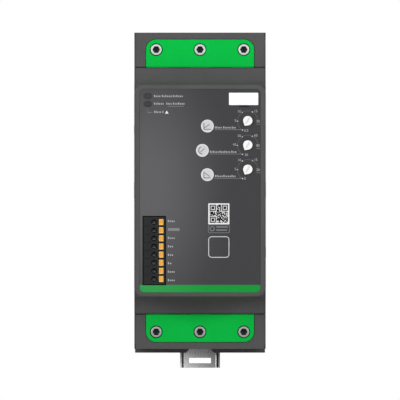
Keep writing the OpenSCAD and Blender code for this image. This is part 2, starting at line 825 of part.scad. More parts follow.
// A trim knob: round cap with a pointer corner, on a stem that turns in its can
module trim_knob(i) {
  r = knob_d / 2;
  color([0.93, 0.93, 0.92]) translate([knob_x, 0, knob_at(i)]) rotate([0, pointer_turn, 0]) difference() {
    union() {
      along_y(knob_face, knob_back) {
        circle(r);
        // Flanks of the pointer touch the round cap and meet at a blunt tip below it
        polygon([[-r * cos(45), -r * sin(45)], [-pointer_half, -r * pointer_reach],
          [pointer_half, -r * pointer_reach], [r * cos(45), -r * sin(45)], [0, 0]]);
      }
      peg(0, 0, knob_face + knob_t / 2, stem_end, stem_d);
    }
    // Screwdriver slot across the cap
    block(-cap_slot_w / 2, cap_slot_w / 2, knob_face - over, knob_face + cap_slot_deep,
      -r * cap_slot_share, r * cap_slot_share);
  }
}

module trimmer(i) {
  color([0.16, 0.3, 0.55]) translate([knob_x, 0, knob_at(i)]) difference() {
    block(-can_w / 2, can_w / 2, board_y - can_d, board_y, -can_w / 2, can_w / 2);
    peg(0, 0, board_y - can_d - over, board_y - can_floor, stem_d + thread_play);
  }
}

module terminal_shroud(top) {
  color([0.34, 0.34, 0.35]) at_seam(top) difference() {
    along_y(y_face, y_shelf) translate([-half_w, 0]) square([body_w, term_h]);
    // Mouth round the block's face plate
    along_y(y_face - over, y_face + block_plate + over) translate([0, -over])
      gate_rect(block_half + block_gap, block_h + block_gap + over, block_corner + block_gap, mouth_r);
    // Shadow groove along the seam, on the front and the sides
    block(-half_w - over, half_w + over, y_face - over, y_face + groove_seam_deep, -over, groove_seam_w);
    both_sides() block(half_w - groove_seam_deep, half_w + over, y_face - over, y_shelf + over, -over,
      groove_seam_w);
    // Deeper room behind the block's face plate, with nearly square corners
    along_y(y_face + block_plate, y_shelf + over) translate([0, -over])
      gate_rect(block_half + fit, block_h + fit + over, block_back_corner, mouth_r);
    // Wire entries
    for (i = [0:2]) translate([pole_x(i), 0, 0]) block(-entry_w / 2, entry_w / 2, bus_y + bus_t,
      bus_y + bus_t + wire_room, block_h - over, term_h + over);
    // Small steps in the front corners
    both_sides() block(half_w - step_w, half_w + over, y_face - over, y_face + step_d, term_h - step_h,
      term_h + over);
    // Side walls cored out from behind
    both_sides() block(block_half + side_wall, half_w - side_wall, y_face + side_core_in, y_shelf + over,
      side_core_end, term_h - side_core_end);
  }
}

module terminal_block(top) {
  color([0.0, 0.68, 0.27]) at_seam(top) difference() {
    union() {
      along_y(block_face, y_shelf) gate_rect(block_half, block_h, block_corner, block_seam_corner);
      along_y(y_face + block_plate + fit, y_shelf)
        gate_rect(block_half, block_h, block_back_corner, block_seam_corner);
    }
    block(-half_w, half_w, block_face - over, y_face + groove_seam_deep, -over, groove_seam_w);
    for (i = [0:2]) translate([pole_x(i), 0, 0]) {
      peg(0, screw_rise, block_face - over, ledge_y, recess_d);
      peg(0, screw_rise, ledge_y - over, pocket_y + over, shank_d + shank_play);
      // Pocket of the cage
      block(-cage_w / 2 - cage_play, cage_w / 2 + cage_play, pocket_y, cage_end + cage_play,
        screw_rise - cage_h / 2 - cage_play, screw_rise + cage_h / 2 + cage_play);
      // Way in for the wire, and for the busbar from inside
      block(-entry_w / 2, entry_w / 2, bus_y + bus_t, bus_y + bus_t + wire_room, screw_rise, block_h + over);
      block(-bus_w / 2 - bus_fit, bus_w / 2 + bus_fit, bus_y - bus_fit, bus_y + bus_t + bus_fit,
        -over, screw_rise);
    }
    // Cored out from behind between the poles
    for (s = [-1, 1]) translate([s * pole_pitch / 2, 0, 0]) block(-core_half, core_half,
      block_face + block_plate, y_shelf + over, core_wall, block_h - core_wall);
  }
}

// Six lobes round a core, socket_d across the tips
module lobed_outline() {
  lobe = socket_d * lobe_share;
  circle(socket_d * core_share);
  for (a = [0:60:300]) rotate(a) translate([socket_d / 2 - lobe, 0]) circle(lobe);
}

module terminal_screw(i, top) {
  color([0.82, 0.82, 0.83]) at_seam(top) translate([pole_x(i), 0, screw_rise]) difference() {
    union() {
      peg(0, 0, head_face, head_face + head_l, head_d);
      peg(0, 0, head_face + head_l - over, tip_y, shank_d);
    }
    along_y(head_face - over, head_face + socket_deep) lobed_outline();
  }
}

module terminal_cage(i, top) {
  room = cage_w / 2 - cage_side;
  color([0.7, 0.71, 0.73]) at_seam(top) translate([pole_x(i), 0, screw_rise]) difference() {
    union() {
      translate([0, 0, -cage_h / 2]) linear_extrude(cage_h) difference() {
        soft_rect(-cage_w / 2, cage_w / 2, cage_y, cage_end, cage_bend);
        translate([-room, cage_y + cage_nut]) square([2 * room, cage_end - cage_y - cage_nut - cage_back]);
      }
      // Ribs that grip the wire
      for (z = [-grip_pitch, 0, grip_pitch]) block(-room, room, cage_end - cage_back - grip_t,
        cage_end - cage_back + grip_t, z - grip_h / 2, z + grip_h / 2);
    }
    peg(0, 0, cage_y - over, cage_y + cage_nut + over, shank_d + thread_play);
  }
}

module busbar(i, top) {
  color([0.8, 0.45, 0.25]) at_seam(top) translate([pole_x(i), 0, 0]) {
    block(-bus_w / 2, bus_w / 2, bus_y, bus_y + bus_t, -bus_in, screw_rise + cage_h / 2 - mouth_r);
    block(-bus_w / 2, bus_w / 2, bus_y + bus_t / 2, power_y, -bus_in, -bus_in + bus_t);
  }
}

module control_terminal() {
  half = ctl_w / 2;
  color([0.07, 0.07, 0.08]) difference() {
    union() {
      block(ctl_x - half + ctl_gap, ctl_x + half - ctl_gap, ctl_face, board_y, ctl_z0 + ctl_gap,
        ctl_z0 + ctl_h - ctl_gap);
      // Flange behind the cover's front wall
      block(ctl_x - half - ctl_flange, ctl_x + half + ctl_flange, nose_wall + fit, board_y,
        ctl_z0 - ctl_flange, ctl_z0 + ctl_h + ctl_flange);
    }
    for (i = [0:poles - 1]) translate([0, 0, ctl_pole_z(i)]) {
      translate([button_x, 0, 0]) block(-button_w / 2 - button_gap, button_w / 2 + button_gap,
        ctl_face - over, button_end, -button_h / 2 - button_gap, button_h / 2 + button_gap);
      // Wire funnel, running into a square channel
      translate([funnel_x, ctl_face - rim, 0]) rotate([-90, 0, 0])
        cylinder(h = funnel_l, d1 = funnel_d, d2 = channel_w);
      block(funnel_x - channel_w / 2, funnel_x + channel_w / 2, ctl_face + funnel_l / 2, channel_end,
        -channel_w / 2, channel_w / 2);
      // Shallow groove over each pole but the top one, on the plain side of the face
      if (i > 0) translate([0, 0, ctl_pitch / 2]) block(ctl_x - half - over, funnel_x - funnel_d / 2,
        ctl_face - over, ctl_face + groove_deep, -groove_w / 2, groove_w / 2);
      // Room of the clamp spring, open to the channel
      block(funnel_x, button_x + button_w / 2, button_end - rim, channel_end, -channel_w / 2, channel_w / 2);
    }
  }
}

module release_button(i) {
  color([0.96, 0.66, 0.22]) translate([button_x, 0, ctl_pole_z(i)]) difference() {
    block(-button_w / 2, button_w / 2, button_face, button_face + button_l, -button_h / 2, button_h / 2);
    // Dish for a screwdriver's tip
    block(-button_w / 2 + dish_rim, button_w / 2 - dish_rim, button_face - over, button_face + dish_deep,
      -button_h / 2 + dish_rim, button_h / 2 - dish_rim);
  }
}

// Leaf springs that hold the wires, drawn as held open by their buttons
module clamp_springs() {
  leaf_y = button_end + button_gap;
  leaf_w = channel_w - 2 * button_gap;
  leaf_x0 = funnel_x + channel_w / 2;
  leaf_x1 = button_x + button_w / 2 - button_gap;
  color([0.75, 0.76, 0.78]) for (i = [0:poles - 1])
    translate([0, 0, ctl_pole_z(i) - leaf_w / 2]) linear_extrude(leaf_w) {
      translate([leaf_x0, leaf_y]) square([leaf_x1 - leaf_x0, leaf_t]);
      translate([leaf_x1 - leaf_t, leaf_y]) square([leaf_t, channel_end - leaf_y]);
    }
}

module control_board() {
  color([0.1, 0.35, 0.2]) block(-board_half, board_half, board_y, board_y + board_t,
    z_nose_foot + wall + board_end, z_nose_top - wall - board_end);
}

module power_board() {
  color([0.1, 0.35, 0.2]) block(-board_half, board_half, power_y, power_y + board_t,
    z_seam_foot + bus_in - board_lap, z_seam_top - bus_in + board_lap);
}

// Card that joins the two boards
module riser_board() {
  z1 = z_mid - relay_h / 2 - riser_gap;
  color([0.1, 0.35, 0.2]) block(inner_w - riser_in, inner_w - riser_in + board_t, board_y + board_t, power_y,
    z1 - riser_h, z1);
}

module thyristor_module(i) {
  half = module_w / 2;
  y0 = sink_front - module_d;
  color([0.12, 0.12, 0.13]) translate([module_x(i), 0, z_mid]) {
    difference() {
      block(-half, half, y0, sink_front, -module_h / 2, module_h / 2);
      // Ears at both ends
      for (z = [-module_h / 2, module_h / 2]) block(-half - over, half + over, y0 - over,
        sink_front - ear_t, z - ear_h, z + ear_h);
    }
    // Posts up to the power board
    for (z = [-tab_pitch, 0, tab_pitch]) peg(0, z, power_y + board_t, y0 + over, tab_d);
  }
}

module bypass_relay(i) {
  color([0.85, 0.85, 0.83]) translate([relay_x(i), 0, z_mid])
    block(-relay_w / 2, relay_w / 2, power_y - relay_d, power_y, -relay_h / 2, relay_h / 2);
}

rear_base();
rail_clip();
rail_clip_spring();
heatsink();
main_housing();
housing_screws();
front_cover();
front_label();
marker_plate();
signal_window(0);  // signal_window_1
signal_window(1);  // signal_window_2
trim_knob(0);  // start_time_knob
trim_knob(1);  // start_level_knob
trim_knob(2);  // stop_time_knob
trimmer(0);  // trimmer_1
trimmer(1);  // trimmer_2
trimmer(2);  // trimmer_3
terminal_shroud(true);  // top_terminal_shroud
terminal_shroud(false);  // bottom_terminal_shroud
terminal_block(true);  // top_terminal_block
terminal_block(false);  // bottom_terminal_block
terminal_screw(0, true);  // line_screw_1
terminal_screw(1, true);  // line_screw_2
terminal_screw(2, true);  // line_screw_3
terminal_screw(0, false);  // load_screw_1
terminal_screw(1, false);  // load_screw_2
terminal_screw(2, false);  // load_screw_3
terminal_cage(0, true);  // line_cage_1
terminal_cage(1, true);  // line_cage_2
terminal_cage(2, true);  // line_cage_3
terminal_cage(0, false);  // load_cage_1
terminal_cage(1, false);  // load_cage_2
terminal_cage(2, false);  // load_cage_3
busbar(0, true);  // line_busbar_1
busbar(1, true);  // line_busbar_2
busbar(2, true);  // line_busbar_3
busbar(0, false);  // load_busbar_1
busbar(1, false);  // load_busbar_2
busbar(2, false);  // load_busbar_3
control_terminal();
release_button(0);  // release_button_1
release_button(1);  // release_button_2
release_button(2);  // release_button_3
release_button(3);  // release_button_4
release_button(4);  // release_button_5
release_button(5);  // release_button_6
release_button(6);  // release_button_7
release_button(7);  // release_button_8
clamp_springs();
control_board();
power_board();
riser_board();
thyristor_module(0);  // thyristor_module_1
thyristor_module(1);  // thyristor_module_2
thyristor_module(2);  // thyristor_module_3
bypass_relay(0);  // bypass_relay_1
bypass_relay(1);  // bypass_relay_2
bypass_relay(2);  // bypass_relay_3
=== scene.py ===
# %% [markdown]
# A soft starter is a small motor controller that clips on a steel rail in a cabinet. This lesson
# dresses its finished frame, whose parts and joints are already fixed: it adds the camera, the
# mouldings' finishes, the print on the front, the screws and the light, and moves no part.

# %% Load the frame
import json
import math
import random

import bmesh
import bpy
from mathutils import Matrix, Vector


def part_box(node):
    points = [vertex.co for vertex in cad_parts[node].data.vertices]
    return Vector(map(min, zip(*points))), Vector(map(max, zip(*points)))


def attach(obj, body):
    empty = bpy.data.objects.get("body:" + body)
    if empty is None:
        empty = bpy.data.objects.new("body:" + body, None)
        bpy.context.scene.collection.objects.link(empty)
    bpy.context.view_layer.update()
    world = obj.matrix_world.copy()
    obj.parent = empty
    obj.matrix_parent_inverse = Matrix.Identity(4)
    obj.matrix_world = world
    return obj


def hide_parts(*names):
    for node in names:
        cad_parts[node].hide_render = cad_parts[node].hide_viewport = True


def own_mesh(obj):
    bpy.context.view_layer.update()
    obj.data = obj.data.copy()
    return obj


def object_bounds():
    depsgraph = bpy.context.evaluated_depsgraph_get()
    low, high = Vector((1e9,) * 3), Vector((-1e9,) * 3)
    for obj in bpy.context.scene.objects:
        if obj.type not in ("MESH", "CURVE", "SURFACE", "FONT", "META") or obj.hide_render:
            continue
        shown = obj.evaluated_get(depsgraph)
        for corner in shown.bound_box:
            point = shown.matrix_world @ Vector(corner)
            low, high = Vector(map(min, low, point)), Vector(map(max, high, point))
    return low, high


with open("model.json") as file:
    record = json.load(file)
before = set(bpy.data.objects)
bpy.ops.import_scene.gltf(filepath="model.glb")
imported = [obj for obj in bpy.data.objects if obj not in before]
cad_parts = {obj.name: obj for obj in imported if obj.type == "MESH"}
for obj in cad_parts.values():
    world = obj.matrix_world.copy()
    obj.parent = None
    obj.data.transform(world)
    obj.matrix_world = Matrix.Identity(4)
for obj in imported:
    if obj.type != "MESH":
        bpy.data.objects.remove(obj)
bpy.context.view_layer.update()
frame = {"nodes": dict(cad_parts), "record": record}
NODES = frame["nodes"]
MM = 0.001

# %% [markdown]
# Most pieces are placed from two faces of the frame, so these are measured first: the front of the
# nose, and the front of the label in its shallow recess. Reading them from the frame keeps the
# dressing true if a size changes.

# %% Measure the faces that the pieces are placed from


def middle(node):
    """Middle of a node's box."""
    low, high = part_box(node)
    return (low + high) / 2


def mm(length):
    """A length in millimetres, for printing."""
    return round(length / MM, 2)


label_low, label_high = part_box("front_label")
nose_low, nose_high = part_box("front_cover")
LABEL_FACE = label_low.y
NOSE_FACE = nose_low.y
LABEL_MID = (label_low.z + label_high.z) / 2
POLES = 8
print("label face", mm(LABEL_FACE), "mm, nose face", mm(NOSE_FACE), "mm")

# %% [markdown]
# The picture is a product photograph with almost no perspective: the sides of the deep housing are
# hidden behind its front. A very long lens far away gives that look. Its length is kept just short
# enough for the camera to stay within reach of the object in every other view.

# %% Camera
LENS = 1650.0
SENSOR = 36.0
PICTURE_WIDTH = 227.86 * MM
AIM_BELOW_LABEL = 5.29 * MM
CLIP_NEAR = 0.1
CLIP_FAR = 40.0


def placed(name, data):
    """A new object of the given data, in the scene."""
    obj = bpy.data.objects.new(name, data)
    bpy.context.scene.collection.objects.link(obj)
    return obj


camera_data = bpy.data.cameras.new("long_lens")
camera_data.lens = LENS
camera_data.sensor_width = SENSOR
camera_data.clip_start = CLIP_NEAR
camera_data.clip_end = CLIP_FAR
camera = placed("long_lens", camera_data)
distance = PICTURE_WIDTH / SENSOR * LENS
camera.location = (0.0, NOSE_FACE - distance, LABEL_MID - AIM_BELOW_LABEL)
camera.rotation_euler = (math.radians(90), 0, 0)
bpy.context.scene.camera = camera
print("camera", round(distance, 2), "m in front of the nose")

# %% [markdown]
# Colours are noted as they read on a screen, from 0 to 255, and Blender's shaders take linear
# light. One small helper turns the first into the second, so that each finish can be written the
# way a painter would match it against the real plastic.

# %% Colours


def linear(value):
    """One screen channel, 0 to 255, as linear light."""
    c = value / 255
    return c / 12.92 if c <= 0.04045 else ((c + 0.055) / 1.055) ** 2.4


def paint(red, green, blue):
    """A screen colour as a linear RGBA value."""
    return (linear(red), linear(green), linear(blue), 1.0)


# %% [markdown]
# Blender keeps finishes, the light of the world and some modifiers as trees of nodes, which are
# boxes joined by wires. This class adds a node, fills its inputs, does a sum or maps a range, each
# in one short line, so that a tree reads like a recipe.

# %% Wiring


class Wiring:
    """A tree of nodes, with short ways to add nodes and to join them."""

    def __init__(self, tree):
        self.tree = tree

    def node(self, kind, **settings):
        """A new node with its settings."""
        made = self.tree.nodes.new(kind)
        for key, value in settings.items():
            setattr(made, key, value)
        return made

    def join(self, value, entry):
        """Gives an input a fixed number or colour, or a wire from an output."""
        if isinstance(value, (int, float, tuple)):
            entry.default_value = value
        else:
            self.tree.links.new(value, entry)

    def fill(self, node, values):
        """Joins a value to each input of a node that is named or numbered."""
        for entry, value in values.items():
            self.join(value, node.inputs[entry])

    def worked(self, operation, *terms):
        """The result of one sum; each term is a number or an output."""
        made = self.node("ShaderNodeMath", operation=operation)
        self.fill(made, dict(enumerate(terms)))
        return made.outputs[0]

    def ranged(self, value, low, high, start=0.3, end=0.7, **settings):
        """A value mapped from start..end to low..high."""
        mapped = self.node("ShaderNodeMapRange", **settings)
        self.fill(mapped, {"Value": value, "From Min": start, "From Max": end,
                           "To Min": low, "To Max": high})
        return mapped.outputs["Result"]


# %% [markdown]
# Each finish starts from the same few nodes: a Principled shader, the object's own coordinates and
# a noise that drives a fine relief. Object coordinates are used because the pieces stand where
# they were modelled, so a pattern keeps its real size and runs unbroken from part to part.

# %% Building blocks of a finish


class Finish(Wiring):
    """A material with a Principled shader, and short ways to hang textures on it."""

    def __init__(self, name, colour, roughness, specular, metallic=0.0):
        self.material = bpy.data.materials.new(name)
        self.material.use_nodes = True
        super().__init__(self.material.node_tree)
        self.shader = self.tree.nodes["Principled BSDF"]
        self.fill(self.shader, {"Base Color": colour, "Roughness": roughness,
                                "Metallic": metallic, "Specular IOR Level": specular})
        self.place = self.node("ShaderNodeTexCoord").outputs["Object"]
        self.split = self.node("ShaderNodeSeparateXYZ")
        self.join(self.place, self.split.inputs[0])
        self.colour = None

    def axis(self, letter):
        """One of the object's coordinates, in metres."""
        return self.split.outputs[letter]

    def band(self, value, low, high, soft=0.06 * MM):
        """A mask that is 1 from low to high and fades out over soft at both ends."""
        above = self.ranged(value, 0.0, 1.0, low - soft, low)
        below = self.ranged(value, 1.0, 0.0, high, high + soft)
        return self.worked("MULTIPLY", above, below)

    def off_middle(self, letter, mid, pitch=None):
        """Distance from a middle, or from the nearest of a row of middles."""
        gone = self.worked("SUBTRACT", self.axis(letter), mid)
        if pitch:
            return self.worked("PINGPONG", gone, pitch / 2)
        return self.worked("ABSOLUTE", gone)

    def stretched(self, scale, shift=(0.0, 0.0, 0.0)):
        """The object's coordinates, scaled along each axis and then shifted."""
        mapping = self.node("ShaderNodeMapping")
        self.fill(mapping, {"Vector": self.place, "Scale": scale, "Location": shift})
        return mapping.outputs["Vector"]

    def noise(self, scale, detail=3.0, place=None):
        """Noise with a grain of 1 / scale metres."""
        noise = self.node("ShaderNodeTexNoise")
        self.fill(noise, {"Vector": place or self.place, "Scale": scale, "Detail": detail})
        return noise.outputs["Fac"]

    def mixed(self, factor, first, second, blend="MIX"):
        """A colour between two colours or colour outputs."""
        mix = self.node("ShaderNodeMix", data_type="RGBA", blend_type=blend)
        self.fill(mix, {0: factor, 6: first, 7: second})
        return mix.outputs[2]

    def relief(self, height, depth, strength):
        """A bump of the given depth in metres."""
        bump = self.node("ShaderNodeBump")
        self.fill(bump, {"Height": height, "Distance": depth, "Strength": strength})
        self.join(bump.outputs["Normal"], self.shader.inputs["Normal"])

    def colour_from(self, output):
        """Drives the base colour."""
        self.colour = output
        self.join(output, self.shader.inputs["Base Color"])

    def darkened(self, mask, share):
        """Leaves only a share of the base colour where the mask is 1."""
        self.colour_from(self.mixed(mask, self.colour, (share, share, share, 1.0), "MULTIPLY"))

    def clouded(self, grain, first, second, detail=3.0):
        """Lets the base colour wander between two colours."""
        cloud = self.ranged(self.noise(grain, detail), 0.0, 1.0)
        self.colour_from(self.mixed(cloud, first, second))

    def roughness_from(self, output):
        """Drives the roughness."""
        self.join(output, self.shader.inputs["Roughness"])


def shade(colour, factor):
    """A colour made lighter or darker."""
    return tuple(min(1.0, c * factor) for c in colour[:3]) + (1.0,)


# %% [markdown]
# The housing, the terminal blocks, the knobs and the buttons are all injection mouldings. Their
# moulds are spark eroded, which leaves a fine even grain and a half-matt sheen, and the colour
# wanders a little where the melt cooled. Grain, sheen and drift are noises of different size.

# %% Moulded plastics
DRIFT_GRAIN = 55.0
SHEEN_GRAIN = 240.0


def moulded(name, colour, roughness, grain=2600.0, depth=0.012 * MM, drift=0.06, specular=0.2):
    """Spark-eroded moulding: fine grain, a slight drift of colour and sheen."""
    finish = Finish(name, colour, roughness, specular)
    finish.relief(finish.noise(grain, 4.0), depth, 0.6)
    finish.clouded(DRIFT_GRAIN, shade(colour, 1 - drift), shade(colour, 1 + drift), 2.0)
    sheen = finish.noise(SHEEN_GRAIN)
    finish.roughness_from(finish.ranged(sheen, roughness - 0.05, roughness + 0.06))
    return finish


FINISHES = {
    "grey_plastic": moulded("grey_moulding", paint(78, 78, 78), 0.55),
    "black_plastic": moulded("black_moulding", paint(72, 72, 70), 0.5),
    "terminal_black": moulded("terminal_black", paint(27, 28, 29), 0.45),
    "green_plastic": moulded("green_moulding", paint(0, 188, 68), 0.5, drift=0.03, specular=0.08),
    "white_plastic": moulded("white_moulding", paint(241, 241, 240), 0.45, drift=0.015),
    "marker_white": moulded("marker_white", paint(252, 252, 252), 0.5, drift=0.01),
    "blue_plastic": moulded("blue_moulding", paint(40, 76, 140), 0.45),
}
print("plastics:", ", ".join(FINISHES))

# %% [markdown]
# A fine groove runs where each terminal section meets the housing. A painted shade darkens the two
# plastics in a narrow band along it, down to the depth of the terminal section. Between the poles
# the green blocks end in low windows, which get a darker painted shade still. Both plastics also
# get a painted shade that deepens a little towards the foot, and the grey one gets painted shade
# along its side edges, where the eased corner turns away from the light.

# %% Painted shade at the seams, the foot and the sides
FADE_Z = 60 * MM
SIDE_LINE = (nose_high.x - 1.05 * MM, nose_high.x - 0.15 * MM)
SEAM_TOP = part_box("top_terminal_shroud")[0].z
SEAM_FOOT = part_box("bottom_terminal_shroud")[1].z
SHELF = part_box("top_terminal_shroud")[1].y
TOP_LINE = (SEAM_TOP - 0.4 * MM, SEAM_TOP + 0.25 * MM)
FOOT_LINE = (SEAM_FOOT - 0.35 * MM, SEAM_FOOT + 0.65 * MM)
WINDOW_X = (5.3 * MM, 18.1 * MM)
SEAM_SHADES = (("grey_plastic", 0.89, 0.36, 0.74), ("green_plastic", 0.84, 0.8, 1.0))
SIDE_LINE_SHADE = 0.78
WINDOW_SHADE = 0.55


def seam_shade_mask(finish, at_foot=1.0):
    """Painted shade: 1 on the top seam's line, at_foot on the lower one, in front of the shelf."""
    z = finish.axis("Z")
    top = finish.band(z, *TOP_LINE)
    foot = finish.worked("MULTIPLY", finish.band(z, *FOOT_LINE), at_foot)
    ahead = finish.ranged(finish.axis("Y"), 1.0, 0.0, SHELF, SHELF + 0.2 * MM)
    return finish.worked("MULTIPLY", finish.worked("MAXIMUM", top, foot), ahead)


# Painted shade: darker towards the foot, and in a band along each seam.
for finish_name, foot_share, share, at_foot in SEAM_SHADES:
    finish = FINISHES[finish_name]
    finish.darkened(finish.ranged(finish.axis("Z"), 1.0, 0.0, -FADE_Z, FADE_Z), foot_share)
    finish.darkened(seam_shade_mask(finish, at_foot), share)
housing_grey = FINISHES["grey_plastic"]
# Painted shade along the side edges of the grey housing.
side_line = housing_grey.band(housing_grey.off_middle("X", 0.0), *SIDE_LINE, 0.12 * MM)
housing_grey.darkened(side_line, SIDE_LINE_SHADE)
green = FINISHES["green_plastic"]
# Darker painted shade where the green blocks end in windows between the poles.
windows = green.band(green.off_middle("X", 0.0), *WINDOW_X, 0.4 * MM)
green.darkened(green.worked("MULTIPLY", seam_shade_mask(green), windows), WINDOW_SHADE)
print("seams at", mm(SEAM_TOP), "and", mm(SEAM_FOOT), "mm")

# %% [markdown]
# The same trick shades what lies below a surface. The wire funnels and the gap round the pluggable
# terminal are dark a little behind its face, and so is the screwdriver slot of each trim knob.

# %% Shaded recesses
TERMINAL_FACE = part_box("control_terminal")[0].y
KNOB_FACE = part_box("start_time_knob")[0].y
SLOT_REACH = 2.05 * MM
FUNNEL_SHADE = 0.3
SLOT_SHADE = 0.9
knob_mid = middle("trimmer_1")
knob_pitch = knob_mid.z - middle("trimmer_2").z

terminal = FINISHES["terminal_black"]
in_funnel = terminal.ranged(terminal.axis("Y"), 0.0, 1.0, TERMINAL_FACE + 0.1 * MM,
                            TERMINAL_FACE + 0.25 * MM)
terminal.darkened(in_funnel, FUNNEL_SHADE)
knob = FINISHES["white_plastic"]
in_slot = knob.ranged(knob.axis("Y"), 0.0, 1.0, KNOB_FACE + 0.08 * MM, KNOB_FACE + 0.3 * MM)
for off in (knob.off_middle("X", knob_mid.x), knob.off_middle("Z", knob_mid.z, knob_pitch)):
    near = knob.ranged(off, 1.0, 0.0, SLOT_REACH, SLOT_REACH + 0.1 * MM)
    in_slot = knob.worked("MULTIPLY", in_slot, near)
knob.darkened(in_slot, SLOT_SHADE)
print("knobs", mm(knob_pitch), "mm apart")

# %% [markdown]
# The release buttons are orange, and their raised rims are paler than the dish between them, while
# the eased edge at the gap gets a painted shade. All eight are alike, so one pattern serves them:
# the distance from the column's middle line, and from the nearest pole.

# %% Button plastic
button_low, button_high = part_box("release_button_1")
BUTTON_HALF_W = (button_high.x - button_low.x) / 2
BUTTON_HALF_H = (button_high.z - button_low.z) / 2
BUTTON_MID = middle("release_button_1")
POLE_PITCH = (BUTTON_MID.z - middle("release_button_8").z) / (POLES - 1)
SIDE_SHADE = 0.33 * MM
END_SHADE = 0.2 * MM
EDGE_SHADE = 0.2
DISH_ORANGE = paint(234, 168, 58)
RIM_ORANGE = paint(236, 200, 118)

orange = moulded("orange_moulding", DISH_ORANGE, 0.45, drift=0.03)
rim, edge = 0.0, 0.0
for letter, half, shaded, pitch in (("X", BUTTON_HALF_W, SIDE_SHADE, None),
                                    ("Z", BUTTON_HALF_H, END_SHADE, POLE_PITCH)):
    off = orange.off_middle(letter, BUTTON_MID[0 if letter == "X" else 2], pitch)
    rim = orange.worked("MAXIMUM", rim, orange.ranged(off, 0.0, 1.0, 0.45 * half, 0.8 * half))
    eased = half - shaded
    edge = orange.worked("MAXIMUM", edge, orange.ranged(off, 0.0, 1.0, eased, eased + 0.09 * MM))
orange.colour_from(orange.mixed(rim, DISH_ORANGE, RIM_ORANGE))
# Painted shade on the eased edge at the gap.
orange.darkened(edge, EDGE_SHADE)
FINISHES["orange_plastic"] = orange
print("poles", mm(POLE_PITCH), "mm apart")

# %% [markdown]
# The steel parts are zinc plated: grey and faintly bluish, with the drawn lines of the sheet or
# wire under the plating. Noise squeezed along one axis gives those lines. Copper and aluminium are
# the same recipe with another colour and direction. A screw's socket takes a dark painted shade,
# and a painted shade darkens the screws towards the foot, the lower ones more than the upper.

# %% Metals
CLOUD_GRAIN = 180.0
DRAWN_DEPTH = 0.004 * MM
LOW_SCREW_SHADE = 0.6


def metal(name, colour, roughness, lines):
    """Metal with drawn lines; lines holds the grain per metre along each axis."""
    finish = Finish(name, colour, roughness, specular=0.5, metallic=1.0)
    drawn = finish.noise(1.0, 3.0, finish.stretched(lines))
    finish.relief(drawn, DRAWN_DEPTH, 0.5)
    finish.clouded(CLOUD_GRAIN, shade(colour, 0.9), colour)
    finish.roughness_from(finish.ranged(drawn, roughness - 0.07, roughness + 0.1))
    return finish


FINISHES.update({
    "zinc_steel": metal("zinc_plate", paint(164, 165, 167), 0.36, (4000.0, 4000.0, 300.0)),
    "screw_steel": metal("bright_zinc", paint(208, 208, 208), 0.32, (2600.0, 2600.0, 2600.0)),
    "spring_steel": metal("spring_wire", paint(158, 158, 160), 0.3, (3000.0, 3000.0, 3000.0)),
    "aluminium": metal("extruded_aluminium", paint(178, 180, 183), 0.4, (5000.0, 5000.0, 200.0)),
    "copper": metal("bare_copper", paint(196, 122, 84), 0.35, (3000.0, 3000.0, 300.0)),
    # Painted shade: a dark finish for the inside of the screw sockets.
    "oiled_socket": moulded("oiled_socket", paint(14, 20, 19), 0.4),
    "clamp_leaf": moulded("oiled_leaf", paint(82, 90, 85), 0.4, specular=0.3),
})
screw_finish = FINISHES["screw_steel"]
# Painted shade: the screws darken towards the foot.
downward_shade = screw_finish.ranged(screw_finish.axis("Z"), 1.0, 0.0, -FADE_Z, FADE_Z)
screw_finish.darkened(downward_shade, LOW_SCREW_SHADE)

# %% [markdown]
# The rail clip is one folded strip of plated steel. Light and shade are painted on it and tied to
# places on the part. A painted reflection makes its plate light at the left and at the foot and
# greyer to the right, and painted shade greys it upwards, under the body. The fold at its right
# edge has a painted highlight, the grooves beside the plate a painted shade, and the wings outside
# them a painted shade that deepens upwards.

# %% Plating of the rail clip, with painted reflection and shade
clip_low, clip_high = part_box("rail_clip")
FOLDS_W = 2.1 * MM
GROOVE_W = 0.95 * MM
CLIP_SHOWN = 8.9 * MM
FOLD_LINE = (-0.5 * MM, 0.02 * MM)
GROOVE_SHADE = 0.09
WING_SHADE = 0.52
CLIP_LINES = (4000.0, 4000.0, 300.0)
plate_half = clip_high.x - FOLDS_W

clip = Finish("folded_zinc", paint(150, 150, 151), 0.25, specular=0.5, metallic=1.0)
across = clip.ranged(clip.axis("X"), 0.0, 1.0, -plate_half, 0.72 * plate_half)
to_right = clip.worked("POWER", across, 0.6)
low_down = clip.ranged(clip.axis("Z"), 1.0, 0.0, clip_low.z, clip_low.z + CLIP_SHOWN)
to_foot = clip.worked("POWER", low_down, 0.7)
# Painted reflection and shade: light at the left and the foot, greyer to the right and upwards.
upper = clip.mixed(to_right, paint(177, 177, 178), paint(129, 129, 130))
lower = clip.mixed(to_right, paint(242, 242, 242), paint(156, 156, 157))
# Painted highlight along the fold at the right edge.
fold = clip.band(clip.axis("X"), *(plate_half + x for x in FOLD_LINE), 0.08 * MM)
folded = clip.mixed(clip.ranged(low_down, 0.0, 1.0, 0.05, 0.35), paint(120, 120, 121),
                    paint(255, 255, 255))
clip.colour_from(clip.mixed(fold, clip.mixed(to_foot, upper, lower), folded))
off_plate = clip.off_middle("X", 0.0)
# Painted shade on the wings, deeper upwards.
wing = clip.ranged(off_plate, 0.0, 1.0, plate_half + GROOVE_W, plate_half + GROOVE_W + 0.05 * MM)
high_up = clip.worked("SUBTRACT", 1.0, low_down)
clip.darkened(clip.worked("MULTIPLY", wing, high_up), WING_SHADE)
# Painted shade in the grooves beside the plate.
clip.darkened(clip.band(off_plate, plate_half + 0.05 * MM, plate_half + GROOVE_W), GROOVE_SHADE)
plated = clip.noise(1.0, 3.0, clip.stretched(CLIP_LINES))
clip.relief(plated, 0.003 * MM, 0.4)
clip.roughness_from(clip.ranged(plated, 0.2, 0.3))
FINISHES["folded_zinc"] = clip
print("clip plate", mm(2 * plate_half), "mm wide")

